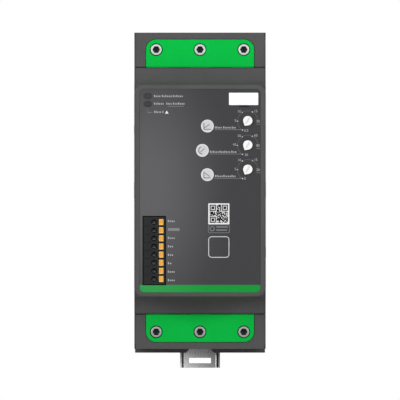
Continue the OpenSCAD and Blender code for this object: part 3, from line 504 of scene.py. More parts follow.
# %% [markdown]
# The label is a printed film under a satin coat. Its dark grey carries a painted reflection, a
# soft lighter field near the left edge that grows fainter to the right and towards both ends and
# also lightens the left of the green stripe that closes the film at the foot. An oval distance
# from one point on the film gives the painted reflection, the height gives the stripe.

# %% Label film
FIELD_X = -30 * MM
FIELD_Z = 2.5 * MM
FIELD_HALF_W = 44 * MM
FIELD_HALF_H = 80 * MM
FIELD_FADE = (0.1, 1.15)
STRIPE_H = 4.2 * MM
STRIPE_EDGE = 0.06 * MM

film = Finish("label_film", paint(60, 60, 62), 0.5, specular=0.2)
# Painted reflection: a soft lighter field near the left edge of the film.
oval = film.stretched((1 / FIELD_HALF_W, 0.0, 1 / FIELD_HALF_H),
                      (-FIELD_X / FIELD_HALF_W, 0.0, -FIELD_Z / FIELD_HALF_H))
reach = film.node("ShaderNodeVectorMath", operation="LENGTH")
film.join(oval, reach.inputs[0])
fade = film.ranged(reach.outputs["Value"], 1.0, 0.0, *FIELD_FADE, interpolation_type="SMOOTHSTEP")
foot = label_low.z + STRIPE_H
stripe = film.ranged(film.axis("Z"), 1.0, 0.0, foot - STRIPE_EDGE, foot + STRIPE_EDGE)
grey = film.mixed(fade, paint(56, 56, 58), paint(88, 88, 90))
stripe_green = film.mixed(fade, paint(0, 142, 50), paint(66, 157, 90))
film.colour_from(film.mixed(stripe, grey, stripe_green))
film.relief(film.noise(3400.0), 0.004 * MM, 0.5)
film.roughness_from(film.ranged(film.noise(300.0), 0.46, 0.56))
FINISHES["label_film"] = film
print("green stripe up to", mm(foot), "mm")

# %% [markdown]
# Ink on the film is a thin, slightly glossy layer. Its greys run from near white for the ground of
# the code and the dots, over a light grey for the discs and a softer one for lines and figures,
# to the faint rings round the knobs. The signal windows are smoked plastic, the boards green.

# %% Inks, windows and boards
INKS = (("ink_white", 228, 228, 228), ("ink_light", 201, 201, 202), ("ink_disc", 204, 204, 206),
        ("ink_words", 173, 173, 175), ("ink_soft", 128, 128, 130), ("ink_sign", 106, 106, 108),
        ("ink_faint", 103, 103, 105), ("ink_dark", 24, 24, 26))
INK_ROUGHNESS = 0.42
COVER_GRAIN = 1500.0
INK_GRAIN = 3000.0


def ink(name, colour):
    """Screen ink with a slight unevenness of cover."""
    finish = Finish(name, colour, INK_ROUGHNESS, specular=0.2)
    finish.clouded(COVER_GRAIN, shade(colour, 0.94), colour)
    finish.relief(finish.noise(INK_GRAIN), 0.003 * MM, 0.4)
    return finish


for name, *screen_colour in INKS:
    FINISHES[name] = ink(name, paint(*screen_colour))
FINISHES["dark_window"] = moulded("smoked_window", paint(50, 50, 51), 0.3, depth=0.002 * MM,
                                  specular=0.3)
FINISHES["board"] = moulded("solder_mask", paint(30, 92, 56), 0.35, grain=900.0)
print("finishes:", len(FINISHES))

# %% [markdown]
# Each part of the frame names the finish it is made of, so the parts are dressed by that name.
# Three look different from the rest of their plastic or steel and get their own: the pluggable
# terminal is a deeper black, the marker plate a purer white, and the clip has its own plating with
# painted reflection and shade.

# %% Dress the frame
SLOT_OF = {row["node"]: row["material_slot"] for row in frame["record"]["subparts"]}
OWN_FINISH = {"control_terminal": "terminal_black", "marker_plate": "marker_white",
              "rail_clip": "folded_zinc"}


def built(mesh, name, *finish_names):
    """Makes an object of a bmesh, with its finishes in the order of their numbers."""
    bmesh.ops.recalc_face_normals(mesh, faces=mesh.faces)
    data = bpy.data.meshes.new(name)
    for finish_name in finish_names:
        data.materials.append(FINISHES[finish_name].material)
    mesh.to_mesh(data)
    mesh.free()
    return placed(name, data)


for node_name, node in NODES.items():
    finish_name = OWN_FINISH.get(node_name, SLOT_OF[node_name])
    node.data.materials.clear()
    node.data.materials.append(FINISHES[finish_name].material)
print("dressed", len(NODES), "parts of the frame")

# %% [markdown]
# No moulding has a knife edge. The frame's meshes are loose triangles with sharp corners, and they
# must stay as they are, so modifiers do the work: Weld joins the triangles, a small node group
# shades curved faces smooth, and Bevel rounds each sharp edge to the radius the real part has.

# %% Soft edges
SMOOTH_ANGLE = math.radians(28)
BEVEL_ANGLE = math.radians(35)
WELD_REACH = 0.002 * MM
BEVEL_SEGMENTS = 2


def smooth_group():
    """A geometry node group that shades smooth every edge under SMOOTH_ANGLE."""
    group = Wiring(bpy.data.node_groups.new("smooth_curved_faces", "GeometryNodeTree"))
    for way in ("INPUT", "OUTPUT"):
        group.tree.interface.new_socket("Geometry", in_out=way, socket_type="NodeSocketGeometry")
    angle = group.node("GeometryNodeInputMeshEdgeAngle")
    gentle = group.node("FunctionNodeCompare", data_type="FLOAT", operation="LESS_THAN")
    group.fill(gentle, {"A": angle.outputs["Unsigned Angle"], "B": SMOOTH_ANGLE})
    shape = group.node("NodeGroupInput").outputs["Geometry"]
    for domain, smooth in (("FACE", True), ("EDGE", gentle.outputs["Result"])):
        shaded = group.node("GeometryNodeSetShadeSmooth", domain=domain)
        group.fill(shaded, {"Geometry": shape, "Shade Smooth": smooth})
        shape = shaded.outputs["Geometry"]
    group.join(shape, group.node("NodeGroupOutput").inputs["Geometry"])
    return group.tree


SMOOTH = smooth_group()


def soften(obj, radius):
    """Welds, shades and rounds an object's edges with modifiers."""
    weld = obj.modifiers.new("join_triangles", "WELD")
    weld.merge_threshold = WELD_REACH
    obj.modifiers.new("shade_curves", "NODES").node_group = SMOOTH
    bevel = obj.modifiers.new("edge_radius", "BEVEL")
    bevel.affect = "EDGES"
    bevel.width = radius
    bevel.segments = BEVEL_SEGMENTS
    bevel.limit_method = "ANGLE"
    bevel.angle_limit = BEVEL_ANGLE
    bevel.profile = 0.5
    bevel.use_clamp_overlap = True
    bevel.harden_normals = True


CLAMP_PARTS = [f"{side}_{part}_{pole}" for side in ("line", "load")
               for part in ("cage", "busbar") for pole in (1, 2, 3)]
EDGE_RADII = {
    0.3: ["rear_base", "main_housing"],
    0.25: ["front_cover", "top_terminal_block", "bottom_terminal_block"],
    0.2: [f"release_button_{number}" for number in range(1, POLES + 1)],
    0.18: ["rail_clip"],
    0.15: ["top_terminal_shroud", "bottom_terminal_shroud", "heatsink", "housing_screws",
           "start_time_knob", "start_level_knob", "stop_time_knob", *CLAMP_PARTS],
    0.12: ["control_terminal", "marker_plate", "signal_window_1", "signal_window_2"],
}
for radius, names in EDGE_RADII.items():
    for name in names:
        soften(NODES[name], radius * MM)
print("softened", sum(map(len, EDGE_RADII.values())), "parts")

# %% [markdown]
# The print on the label is modelled as thin raised marks, as screen ink is. One bmesh collects all
# marks of one ink. A mark starts as a grid, a disc or a spun ring on the label's face and is
# pushed out by the thickness of the ink, so that it is a closed solid and catches a little light.

# %% Marks on the label
INK_T = 0.03 * MM
INK_SUNK = 0.01 * MM
CORNER_STEPS = 3
UPRIGHT = Matrix.Rotation(math.radians(90), 4, "X")


class Print:
    """All marks of one ink on a flat face that looks towards the viewer."""

    def __init__(self, face_y=LABEL_FACE):
        self.mesh = bmesh.new()
        self.face_y = face_y

    def raise_up(self, faces):
        """Pushes flat faces out of the label into a closed mark."""
        bmesh.ops.recalc_face_normals(self.mesh, faces=faces)
        grown = bmesh.ops.extrude_face_region(self.mesh, geom=faces)
        moved = [v for v in grown["geom"] if isinstance(v, bmesh.types.BMVert)]
        bmesh.ops.translate(self.mesh, verts=moved, vec=(0.0, -INK_T - INK_SUNK, 0.0))

    def at(self, x, z):
        """Matrix that lays a shape drawn in XY on the face, at x and z in millimetres."""
        place = Matrix.Translation((x * MM, self.face_y + INK_SUNK, z * MM))
        return place @ UPRIGHT

    def bar(self, x0, x1, z0, z1, corner=0.0, turn=0.0):
        """A bar between two corners, with round corners if asked."""
        turned = Matrix.Rotation(math.radians(turn), 4, "Z")
        made = bmesh.ops.create_grid(self.mesh, x_segments=1, y_segments=1, size=MM)["verts"]
        bmesh.ops.scale(self.mesh, verts=made, vec=((x1 - x0) / 2, (z1 - z0) / 2, 1.0))
        bmesh.ops.transform(self.mesh, verts=made,
                            matrix=self.at((x0 + x1) / 2, (z0 + z1) / 2) @ turned)
        if corner:
            made = bmesh.ops.bevel(self.mesh, geom=made, offset=corner * MM, affect="VERTICES",
                                   segments=CORNER_STEPS, profile=0.5, material=-1,
                                   clamp_overlap=True)["verts"]
        self.raise_up(list({f for v in made for f in v.link_faces}))

    def disc(self, x, z, radius, segments=40):
        """A round mark; three segments make a triangle."""
        made = bmesh.ops.create_circle(self.mesh, cap_ends=True, segments=segments,
                                       radius=radius * MM, matrix=self.at(x, z))["verts"]
        self.raise_up(list({f for v in made for f in v.link_faces}))

    def ring(self, x, z, radius, width, start=0.0, sweep=360.0, steps=72):
        """A ring or part of one, spun from start, an angle from the right, anticlockwise."""
        radii = (radius - width / 2, radius + width / 2)
        ends = [self.mesh.verts.new((r * MM, 0, 0)) for r in radii]
        seed = self.mesh.edges.new(ends)
        bmesh.ops.rotate(self.mesh, verts=ends, cent=(0, 0, 0),
                         matrix=Matrix.Rotation(math.radians(start), 3, "Z"))
        before = set(self.mesh.faces)
        bmesh.ops.spin(self.mesh, geom=[*ends, seed], cent=(0, 0, 0), axis=(0, 0, 1),
                       angle=math.radians(sweep), steps=steps, use_merge=sweep >= 360.0)
        faces = [f for f in self.mesh.faces if f not in before]
        corners = list({v for f in faces for v in f.verts})
        bmesh.ops.transform(self.mesh, verts=corners, matrix=self.at(x, z))
        self.raise_up(faces)

    def outline(self, x0, x1, z0, z1, corner, width):
        """A frame of four bars joined by quarter rings."""
        half = width / 2
        self.bar(x0 + corner, x1 - corner, z0 - half, z0 + half)
        self.bar(x0 + corner, x1 - corner, z1 - half, z1 + half)
        self.bar(x0 - half, x0 + half, z0 + corner, z1 - corner)
        self.bar(x1 - half, x1 + half, z0 + corner, z1 - corner)
        for x, z, start in ((x1 - corner, z1 - corner, 0), (x0 + corner, z1 - corner, 90),
                            (x0 + corner, z0 + corner, 180), (x1 - corner, z0 + corner, 270)):
            self.ring(x, z, corner, width, start, 90.0, 6)

    def figures(self, text, x, z, height):
        """Plain figures of a scale, centred on a point."""
        curve = bpy.data.curves.new("figures", "FONT")
        curve.body = text
        curve.size = height * MM
        curve.align_x = "CENTER"
        curve.align_y = "CENTER"
        curve.extrude = (INK_T + INK_SUNK) / 2
        curve.resolution_u = 3
        holder = bpy.data.objects.new("figures", curve)
        flat = bpy.data.meshes.new_from_object(holder)
        flat.transform(self.at(x, z) @ Matrix.Translation((0, 0, curve.extrude)))
        self.mesh.from_mesh(flat)
        bpy.data.meshes.remove(flat)
        bpy.data.objects.remove(holder)
        bpy.data.curves.remove(curve)

    def finish(self, name, finish_name, slot_name, body="housing"):
        """Makes the object, dresses it and lets it ride on its body."""
        bmesh.ops.remove_doubles(self.mesh, verts=self.mesh.verts, dist=0.0005 * MM)
        obj = built(self.mesh, name, finish_name)
        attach(obj, body)
        print("made", name, "with", len(obj.data.polygons), "faces")


# %% [markdown]
# Beside the two signal windows stand short lines of print, with a bracket and a small triangle
# below them. The print is made of plain blocks the size of letters, some as tall as a capital, so
# that a line has its real grey and rhythm and says nothing.

# %% Lines of print
soft_print = Print()
faint_print = Print()
word_print = Print()
disc_print = Print()
light_print = Print()
white_print = Print()
BLOCK_SHARE = 0.55
TALL_H = 1.2
LOW_H = 0.85
WINDOW_WORDS = ((-26.2, -22.6, 54.9, 4), (-21.7, -16.2, 54.9, 6), (-15.5, -9.9, 54.9, 6),
                (-26.1, -20.8, 50.6, 6), (-19.1, -16.2, 50.6, 4), (-15.4, -8.9, 50.6, 7),
                (-26.1, -22.2, 45.85, 5), (-21.4, -20.9, 45.85, 1))
WINDOW_RULE = (-18.4, -9.1, 49.5, 49.75)
BRACKET_SIDE = (-30.05, -29.75, 46.1, 48.6)
BRACKET_FOOT = (-29.75, -27.1, 46.05, 46.35)
TRIANGLE = (-18.95, 46.05, 1.15, 3)


def letters(marks, x0, x1, z, count):
    """A word of plain blocks between x0 and x1, standing on z."""
    pitch = (x1 - x0) / (count - 1 + BLOCK_SHARE)
    for i in range(count):
        top = TALL_H if (3 * i + count) % 4 == 0 or i == 0 else LOW_H
        marks.bar(x0 + i * pitch, x0 + (i + BLOCK_SHARE) * pitch, z, z + top)


for word in WINDOW_WORDS:
    letters(word_print, *word)
soft_print.bar(*WINDOW_RULE)
faint_print.bar(*BRACKET_SIDE)
soft_print.bar(*BRACKET_FOOT)
white_print.disc(*TRIANGLE)
print(len(WINDOW_WORDS), "words beside the windows")

# %% [markdown]
# Each trim knob turns inside a printed scale: a thin ring with four dots, plain figures beside
# them, and a rule under the last figure. To the left stands a round light disc with a small sign
# for what the knob sets, and a line of print over a thin rule that runs to the first dot.

# %% Scales
RING_R = 5.85
RING_ARC = (0.2, -8.0, 247.0, 64)
DOT_R = 0.36
FIGURE_H = 2.0
DISC_DOWN = 2.81
DISC_R = 3.64
DOT_ANGLES = (239, 180, 122, 63)
FIGURE_PLACES = ((-4.85, 5.5), (4.6, 5.65), (5.85, -0.1))
FIGURE_RULE = (4.9, 7.4, -1.85, -1.6)
WORDS_DOWN = 4.2
LONG_RULE = (-5.0, -4.75)
RULE_GAP = 0.4
SCALE_DOWN = 0.25
SCALES = (
    {"figures": ("0.5", "5", "10", "15", "20"), "first": (-0.8, -5.4), "second": (-7.0, 0.35),
     "disc": 4.2, "words": ((8.45, 12.3, 5), (13.2, 17.4, 4), (18.1, 20.3, 3))},
    {"figures": ("30", "45", "50", "60", "80"), "first": (-0.8, -5.4), "second": (-7.5, 0.45),
     "disc": 1.35, "words": ((5.7, 10.6, 6), (11.2, 17.2, 7), (17.9, 20.7, 3))},
    {"figures": ("0", "5", "10", "15", "20"), "first": (-1.6, -5.1), "second": (-7.0, 0.35),
     "disc": 4.2, "words": ((8.5, 12.8, 5), (13.3, 17.6, 4), (18.0, 20.2, 3))},
)
KNOB_X = middle("trimmer_1").x / MM
KNOB_Z = [middle(f"trimmer_{i}").z / MM - SCALE_DOWN for i in (1, 2, 3)]


def scale(z, values):
    """Ring, dots, figures, disc and lines of the knob at height z."""
    faint_print.ring(KNOB_X, z, RING_R, *RING_ARC)
    for angle in DOT_ANGLES:
        turned = math.radians(angle)
        x, up = RING_R * math.cos(turned), RING_R * math.sin(turned)
        white_print.disc(KNOB_X + x, z + up, DOT_R, segments=16)
    places = (values["first"], values["second"], *FIGURE_PLACES)
    for (x, up), figure in zip(places, values["figures"]):
        word_print.figures(figure, KNOB_X + x, z + up, FIGURE_H)
    x0, x1, down, up = FIGURE_RULE
    soft_print.bar(KNOB_X + x0, KNOB_X + x1, z + down, z + up)
    disc_print.disc(values["disc"], z - DISC_DOWN, DISC_R)
    for x0, x1, count in values["words"]:
        letters(word_print, x0, x1, z - WORDS_DOWN, count)
    first_dot = KNOB_X + RING_R * math.cos(math.radians(DOT_ANGLES[0]))
    start = values["disc"] + DISC_R + RULE_GAP
    soft_print.bar(start, first_dot, *(z + edge for edge in LONG_RULE))


for z, values in zip(KNOB_Z, SCALES):
    scale(z, values)
print(len(SCALES), "scales")

# %% [markdown]
# The signs on the discs are a rising line over two axes, a gauge with a pointer, and a falling
# line, the usual signs for a gentle start, a starting torque and a gentle stop. They stand in a
# mid grey on the light disc, whose rim is a ring of brighter ink.

# %% Signs on the discs
DISC_RIM = (DISC_R - 0.25, 0.4)
SLOPE = (-1.8, 1.6, -0.2, 0.2)
SLOPE_LEAN = 38
UP_AXIS = (-2.15, -1.72, -1.7, 1.7)
LEVEL_AXIS = (-2.15, 2.05, -2.05, -1.62)
GAUGE_ARC = (2.1, 0.45, 110.0, 160.0, 24)
POINTER = (-1.5, 1.5, -0.2, 0.2)
POINTER_LEAN = 42
sign_print = Print(LABEL_FACE - INK_T)
rim_print = Print(LABEL_FACE - INK_T)
disc_mids = [(values["disc"], z - DISC_DOWN) for z, values in zip(KNOB_Z, SCALES)]


def sign_bar(mid, bar, turn=0.0):
    """A bar of a sign, placed from the middle of its disc."""
    x0, x1, z0, z1 = bar
    sign_print.bar(mid[0] + x0, mid[0] + x1, mid[1] + z0, mid[1] + z1, turn=turn)


for mid in disc_mids:
    rim_print.ring(*mid, *DISC_RIM)
rim_print.finish("disc_rims", "ink_white", "label_film")
for mid, lean in ((disc_mids[0], SLOPE_LEAN), (disc_mids[2], -SLOPE_LEAN)):
    sign_bar(mid, UP_AXIS)
    sign_bar(mid, LEVEL_AXIS)
    sign_bar(mid, SLOPE, lean)
sign_print.ring(*disc_mids[1], *GAUGE_ARC)
sign_bar(disc_mids[1], POINTER, POINTER_LEAN)
sign_print.finish("disc_signs", "ink_sign", "label_film")

# %% [markdown]
# Right of the pluggable terminal each pole has a few blocks of print, and the second has a solid
# bar with round corners.

# %% Lines beside the terminal
ROW_X = -18.3
ROW_TOP = -16.3
ROW_PITCH = 4.81
ROW_LETTERS = (4, 0, 4, 3, 3, 2, 4, 4)
LETTER_PITCH = 0.95
SOLID_BAR = (-11.6, -0.2, 1.35, 0.25)
for row, count in enumerate(ROW_LETTERS):
    z = ROW_TOP - row * ROW_PITCH
    if count:
        letters(word_print, ROW_X, ROW_X + LETTER_PITCH * count, z, count)
    else:
        end, down, up, corner = SOLID_BAR
        soft_print.bar(ROW_X, end, z + down, z + up, corner)
print(len(ROW_LETTERS), "rows beside the terminal")

# %% [markdown]
# The lower right of the label carries a square code on white. Its three finders, each a square in
# a square frame with a clear line round it, are laid first. The cells between them are a made-up
# pattern that holds no message, drawn by dice with a fixed seed.

# %% Square code
CODE_X = (4.7, 16.75)
CODE_Z = (-17.6, -5.65)
CODE_CELLS = 21
CODE_MARGIN = 0.9
CODE_CORNER = 0.3
CODE_GAIN = 0.05
CODE_DARK = 0.62
CODE_SEED = 313
FINDER = 7
far = CODE_CELLS - FINDER
white_print.bar(*CODE_X, *CODE_Z, CODE_CORNER)
code_print = Print(LABEL_FACE - INK_T)
cell = (CODE_X[1] - CODE_X[0] - 2 * CODE_MARGIN) / CODE_CELLS


def code_cell(column, row, columns=1, rows=1):
    """One dark patch of the code, counted from its lower left; its ink spreads a little."""
    x = CODE_X[0] + CODE_MARGIN + column * cell
    z = CODE_Z[0] + CODE_MARGIN + row * cell
    code_print.bar(x - CODE_GAIN, x + columns * cell + CODE_GAIN,
                   z - CODE_GAIN, z + rows * cell + CODE_GAIN)


def code_finder(column, row):
    """A square in a square frame, which marks a corner of a code."""
    code_cell(column, row, FINDER, 1)
    code_cell(column, row + FINDER - 1, FINDER, 1)
    code_cell(column, row + 1, 1, FINDER - 2)
    code_cell(column + FINDER - 1, row + 1, 1, FINDER - 2)
    code_cell(column + 2, row + 2, 3, 3)


def beside_finder(column, row):
    """Whether a cell belongs to a finder or to the clear line round it."""
    low_row, high_row = row <= FINDER, row >= far - 1
    return (column <= FINDER and (low_row or high_row)) or (column >= far - 1 and high_row)


for column, row in ((0, 0), (0, far), (far, far)):
    code_finder(column, row)
dice = random.Random(CODE_SEED)
for column in range(CODE_CELLS):
    for row in range(CODE_CELLS):
        if not beside_finder(column, row) and dice.random() < CODE_DARK:
            code_cell(column, row)
code_print.finish("code_pattern", "ink_dark", "label_film")

# %% [markdown]
# Below the code stand a framed line with a small circle, and an empty frame with round corners.
# They complete the print, so the marks that were collected for each ink now become an object.

# %% Frames, and an object for each ink
SMALL_FRAME = (4.75, 16.8, -22.4, -17.9, 0.8, 0.26)
SMALL_RING = (6.95, -20.1, 1.2, 0.42)
SMALL_LINES = ((9.2, 15.9, -19.4, -18.8, 0.2), (9.2, 15.5, -21.15, -20.55, 0.2))
EMPTY_FRAME = (4.95, 16.5, -36.4, -24.65, 1.7, 0.45)
soft_print.outline(*SMALL_FRAME)
soft_print.ring(*SMALL_RING)
for line in SMALL_LINES:
    soft_print.bar(*line)
light_print.outline(*EMPTY_FRAME)
for ink_print, name, ink_name in ((soft_print, "print_soft", "ink_soft"),
                                  (faint_print, "print_faint", "ink_faint"),
                                  (word_print, "print_words", "ink_words"),
                                  (disc_print, "print_discs", "ink_disc"),
                                  (light_print, "print_light", "ink_light"),
                                  (white_print, "print_white", "ink_white")):
    ink_print.finish(name, ink_name, "label_film")

# %% [markdown]
# The six terminal screws are cheese-head machine screws with a six-lobed socket. A screw is a
# turned part, so it is made as a stack of rings bridged one after another, from the tip up to the
# eased rim of the head and down into the socket, whose rings are waved into six lobes.

# %% Terminal screws
LOBES = 6
HEAD_R = 3.25
CORE_R = 2.15
SOCKET_ROW = 10
SCREW_ROWS = ((1.7, 0, 21.65), (CORE_R, 0, 21.2), (CORE_R, 0, 3.2), (2.8, 0, 3.2),
              (HEAD_R, 0, 2.95), (HEAD_R, 0, 0.4), (3.19, 0, 0.18), (3.05, 0, 0.04),
              (2.89, 0, 0.0), (1.98, 0.12, 0.0), (1.8, 0.15, 0.2), (1.76, 0.15, 1.9),
              (1.0, 0.08, 2.15))
THREAD_R = 2.48
THREAD_ROOT = CORE_R - 0.1
THREAD_RIDGE = ((THREAD_ROOT, 0.0), (THREAD_R, 0.34), (THREAD_ROOT, 0.68))
THREAD_PITCH = 0.8
THREAD_TURNS = 21
THREAD_FROM = 4.2
STEPS_PER_TURN = 20
RING_STEPS = 72
SOCKET_REACH = 10 * MM


def waved_ring(mesh, radius, wave, depth):
    """A ring round the screw's axis, waved into lobes; returns its edges."""
    made = bmesh.ops.create_circle(mesh, segments=RING_STEPS, radius=1.0)["verts"]
    for v in made:
        v.co *= (radius + wave * math.cos(LOBES * math.atan2(v.co.y, v.co.x))) * MM
    bmesh.ops.translate(mesh, verts=made, vec=(0, 0, -depth * MM))
    return list({e for v in made for e in v.link_edges})


def thread(mesh):
    """A helical ridge, spun with a step along the axis, sunk a little into the core."""
    ridge = [mesh.verts.new((r * MM, 0, -(THREAD_FROM + z) * MM)) for r, z in THREAD_RIDGE]
    face = mesh.faces.new(ridge)
    bmesh.ops.spin(mesh, geom=[face, *face.edges, *ridge], cent=(0, 0, 0), axis=(0, 0, 1),
                   dvec=(0, 0, -THREAD_PITCH * MM / STEPS_PER_TURN),
                   angle=-2 * math.pi * THREAD_TURNS, steps=THREAD_TURNS * STEPS_PER_TURN)


def terminal_screw(node):
    """A detailed screw in place of a frame screw."""
    low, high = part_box(node)
    mesh = bmesh.new()
    rings = [waved_ring(mesh, *row) for row in SCREW_ROWS]
    # Rings from SOCKET_ROW on, and the socket's floor, take the socket's painted shade.
    for number, (first, second) in enumerate(zip(rings, rings[1:]), 1):
        strip = bmesh.ops.bridge_loops(mesh, edges=first + second)["faces"]
        for face in strip:
            face.material_index = 1 if number >= SOCKET_ROW else 0
    for face in bmesh.ops.holes_fill(mesh, edges=rings[0] + rings[-1])["faces"]:
        face.material_index = 1 if face.calc_center_median().z > -SOCKET_REACH else 0
    thread(mesh)
    place = Matrix.Translation(((low.x + high.x) / 2, low.y, (low.z + high.z) / 2))
    bmesh.ops.transform(mesh, verts=mesh.verts, matrix=place @ UPRIGHT)
    obj = built(mesh, node + "_detailed", "screw_steel", "oiled_socket")
    obj.modifiers.new("shade_curves", "NODES").node_group = SMOOTH
    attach(obj, node)
    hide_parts(node)
    return obj


for side in ("line", "load"):
    for pole in (1, 2, 3):
        made = terminal_screw(f"{side}_screw_{pole}")
print("six screws,", len(made.data.polygons), "faces each")

# %% [markdown]
# Behind each wire funnel lies the leaf of a spring clamp, which a wire or the release button bends
# away. It closes the channel, so that the funnel doesn't look bottomless. Each leaf is a small
# plate made from a grid, leant back so that it faces a little upwards, and given its thickness.

# %% Leaves of the wire clamps
LEAF_HALF_W = 0.94 * MM
LEAF_HALF_L = 1.12 * MM
LEAF_T = 0.25 * MM
LEAF_DEEP = 1.75 * MM
LEAF_LEAN = math.radians(58)
FUNNEL_OFF = 4.1 * MM

leaves = bmesh.new()
for number in range(1, POLES + 1):
    pole = middle(f"release_button_{number}")
    place = Matrix.Translation((pole.x - FUNNEL_OFF, TERMINAL_FACE + LEAF_DEEP, pole.z))
    made = bmesh.ops.create_grid(leaves, x_segments=1, y_segments=1, size=1.0)["verts"]
    bmesh.ops.scale(leaves, verts=made, vec=(LEAF_HALF_W, LEAF_HALF_L, 1.0))
    bmesh.ops.transform(leaves, verts=made, matrix=place @ Matrix.Rotation(LEAF_LEAN, 4, "X"))
bmesh.ops.solidify(leaves, geom=leaves.faces[:], thickness=LEAF_T)
leaf_obj = built(leaves, "clamp_leaves", "clamp_leaf")
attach(leaf_obj, "housing")
print(POLES, "leaves")

# %% [markdown]
# The cover snaps on the housing with low catches, two on each side. They stand only a fifth of a
# millimetre proud, and in the picture they are the small steps in the outline. Each is a beveled
# block, sunk in the wall.

# %% Side catches
CATCH_PROUD = 0.2 * MM
CATCH_SUNK = 0.3 * MM
CATCH_L = 5.0 * MM
CATCH_EDGE = 0.12 * MM
CATCHES = ((-1, 36.4, 4.8), (-1, 2.0, 9.0), (1, 2.0, 9.0), (1, -33.6, 5.8))
cover_edge = nose_high.y
wall_x = nose_high.x

catches = bmesh.new()
for side, z, tall in CATCHES:
    size = Vector((CATCH_PROUD + CATCH_SUNK, CATCH_L, tall * MM))
    x = side * (wall_x + (CATCH_PROUD - CATCH_SUNK) / 2)
    place = Matrix.Translation((x, cover_edge - CATCH_L, z * MM))
    bmesh.ops.create_cube(catches, size=1.0, matrix=place @ Matrix.Diagonal((*size, 1.0)))
bmesh.ops.bevel(catches, geom=catches.edges[:], offset=CATCH_EDGE, affect="EDGES",
                segments=BEVEL_SEGMENTS, profile=0.5, material=-1, clamp_overlap=True)
catch_obj = built(catches, "side_catches", "grey_plastic")
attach(catch_obj, "housing")
print(len(CATCHES), "catches at the cover's edge,", mm(cover_edge), "mm")

# %% [markdown]
# The rail clip is pulled back by a coil spring in its pocket. A coil is a small circle spun round
# the spring's axis while each step climbs a little. Its end turns lie close together, as on a real
# compression spring.

# %% Spring of the rail clip
WIRE_R = 0.4 * MM
END_TURNS = 1
ACTIVE_TURNS = 7
COIL_STEPS = 24
WIRE_STEPS = 10
CLOSE_PITCH = 2.05 * WIRE_R

coil_low, coil_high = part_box("rail_clip_spring")
coil_r = (coil_high.x - coil_low.x) / 2 - WIRE_R
coil_rise = coil_high.z - coil_low.z - 2 * WIRE_R
end_step = CLOSE_PITCH / COIL_STEPS
active_step = (coil_rise - 2 * END_TURNS * COIL_STEPS * end_step) / (ACTIVE_TURNS * COIL_STEPS)
coil = bmesh.new()
wire = bmesh.ops.create_circle(coil, cap_ends=True, segments=WIRE_STEPS, radius=WIRE_R,
                               matrix=Matrix.Translation((coil_r, 0, 0)) @ UPRIGHT)["verts"]
stage = [*wire, *{e for v in wire for e in v.link_edges}, *{f for v in wire for f in v.link_faces}]
for turns, step in ((END_TURNS, end_step), (ACTIVE_TURNS, active_step), (END_TURNS, end_step)):
    spun = bmesh.ops.spin(coil, geom=stage, cent=(0, 0, 0), axis=(0, 0, 1), dvec=(0, 0, step),
                          angle=2 * math.pi * turns, steps=turns * COIL_STEPS)
    stage = spun["geom_last"]
coil_foot = ((coil_low.x + coil_high.x) / 2, (coil_low.y + coil_high.y) / 2, coil_low.z + WIRE_R)
bmesh.ops.translate(coil, verts=coil.verts, vec=coil_foot)
spring = built(coil, "clip_spring", "spring_steel")
spring.modifiers.new("shade_curves", "NODES").node_group = SMOOTH
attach(spring, "housing")
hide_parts("rail_clip_spring")
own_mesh(spring)
print("spring of", len(spring.data.polygons), "faces")

# %% [markdown]
# The floor is plain and pale and lies a little below the device, which hangs on its rail and
# stands on nothing. It keeps the soft shadow. Where the camera sees it, a little glow lifts it
# towards the white of the world. The world is white to the camera and in reflections only, while
# the light on the device comes from the lamps and a dimmer world.

# %% Floor and world
FLOOR_DROP = 32 * MM
FLOOR_SIZE = 0.9
FLOOR_GRAIN = 6.0
FLOOR_GREYS = (paint(236, 236, 236), paint(241, 241, 241))
FLOOR_GLOW = 0.34
WORLD_LIGHT = 0.27

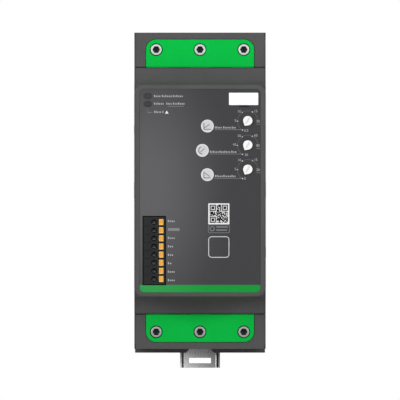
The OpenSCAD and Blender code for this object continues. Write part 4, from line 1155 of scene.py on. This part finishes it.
object_low, object_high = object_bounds()
floor_mesh = bmesh.new()
bmesh.ops.create_grid(floor_mesh, x_segments=1, y_segments=1, size=FLOOR_SIZE)
bmesh.ops.translate(floor_mesh, verts=floor_mesh.verts, vec=(0, 0, object_low.z - FLOOR_DROP))
floor_finish = Finish("pale_floor", paint(238, 238, 238), 0.9, specular=0.1)
FINISHES["floor"] = floor_finish
floor_finish.clouded(FLOOR_GRAIN, *FLOOR_GREYS)
seen_floor = floor_finish.node("ShaderNodeLightPath").outputs["Is Camera Ray"]
glow = floor_finish.worked("MULTIPLY", seen_floor, FLOOR_GLOW)
floor_finish.fill(floor_finish.shader, {"Emission Color": (1, 1, 1, 1), "Emission Strength": glow})
floor = built(floor_mesh, "floor", "floor")

world = bpy.data.worlds.new("studio")
bpy.context.scene.world = world
world.use_nodes = True
sky = Wiring(world.node_tree)
rays = sky.node("ShaderNodeLightPath").outputs
seen = sky.worked("MAXIMUM", rays["Is Camera Ray"], rays["Is Glossy Ray"])
mirrored = sky.worked("MAXIMUM", seen, rays["Is Transmission Ray"])
strength = sky.ranged(mirrored, WORLD_LIGHT, 1.0, 0.0, 1.0)
sky.fill(sky.tree.nodes["Background"], {"Color": (1, 1, 1, 1), "Strength": strength})
print("floor", mm(object_low.z - FLOOR_DROP), "mm, world light", WORLD_LIGHT)

# %% [markdown]
# Two soft lamps stand in front, well out to either side so that no flat face mirrors them into the
# lens, and a little above. They give the front its even light, with less on the hollow sweeps
# above and below the nose. A weak one hangs overhead. Two more stand behind: they never reach the
# front, and keep the sides and the back from going black.

# %% Lamps
CENTRE = (object_low + object_high) / 2
LAMPS = (
    ("front_left_lamp", (-0.95, -1.05, 0.34), 0.5, 9.6),
    ("front_right_lamp", (0.95, -1.05, 0.34), 0.5, 8.7),
    ("top_lamp", (0.0, -0.1, 1.3), 0.7, 1.2),
    ("back_left_lamp", (-1.3, 0.9, 0.35), 0.9, 9.0),
    ("back_right_lamp", (1.3, 0.9, 0.35), 0.9, 9.0),
)


def lamp(name, place, size, power):
    """A square area lamp of so many metres and watts, aimed at the middle of the object."""
    data = bpy.data.lights.new(name, "AREA")
    data.shape = "SQUARE"
    data.size = size
    data.energy = power
    obj = placed(name, data)
    obj.location = CENTRE + Vector(place)
    obj.rotation_euler = (-Vector(place)).to_track_quat("-Z", "Y").to_euler()


for row in LAMPS:
    lamp(*row)
print(len(LAMPS), "lamps")

# %% [markdown]
# Colours should reach the picture as they are written, so the view transform is the plain one.

# %% View transform
bpy.context.scene.view_settings.view_transform = "Standard"
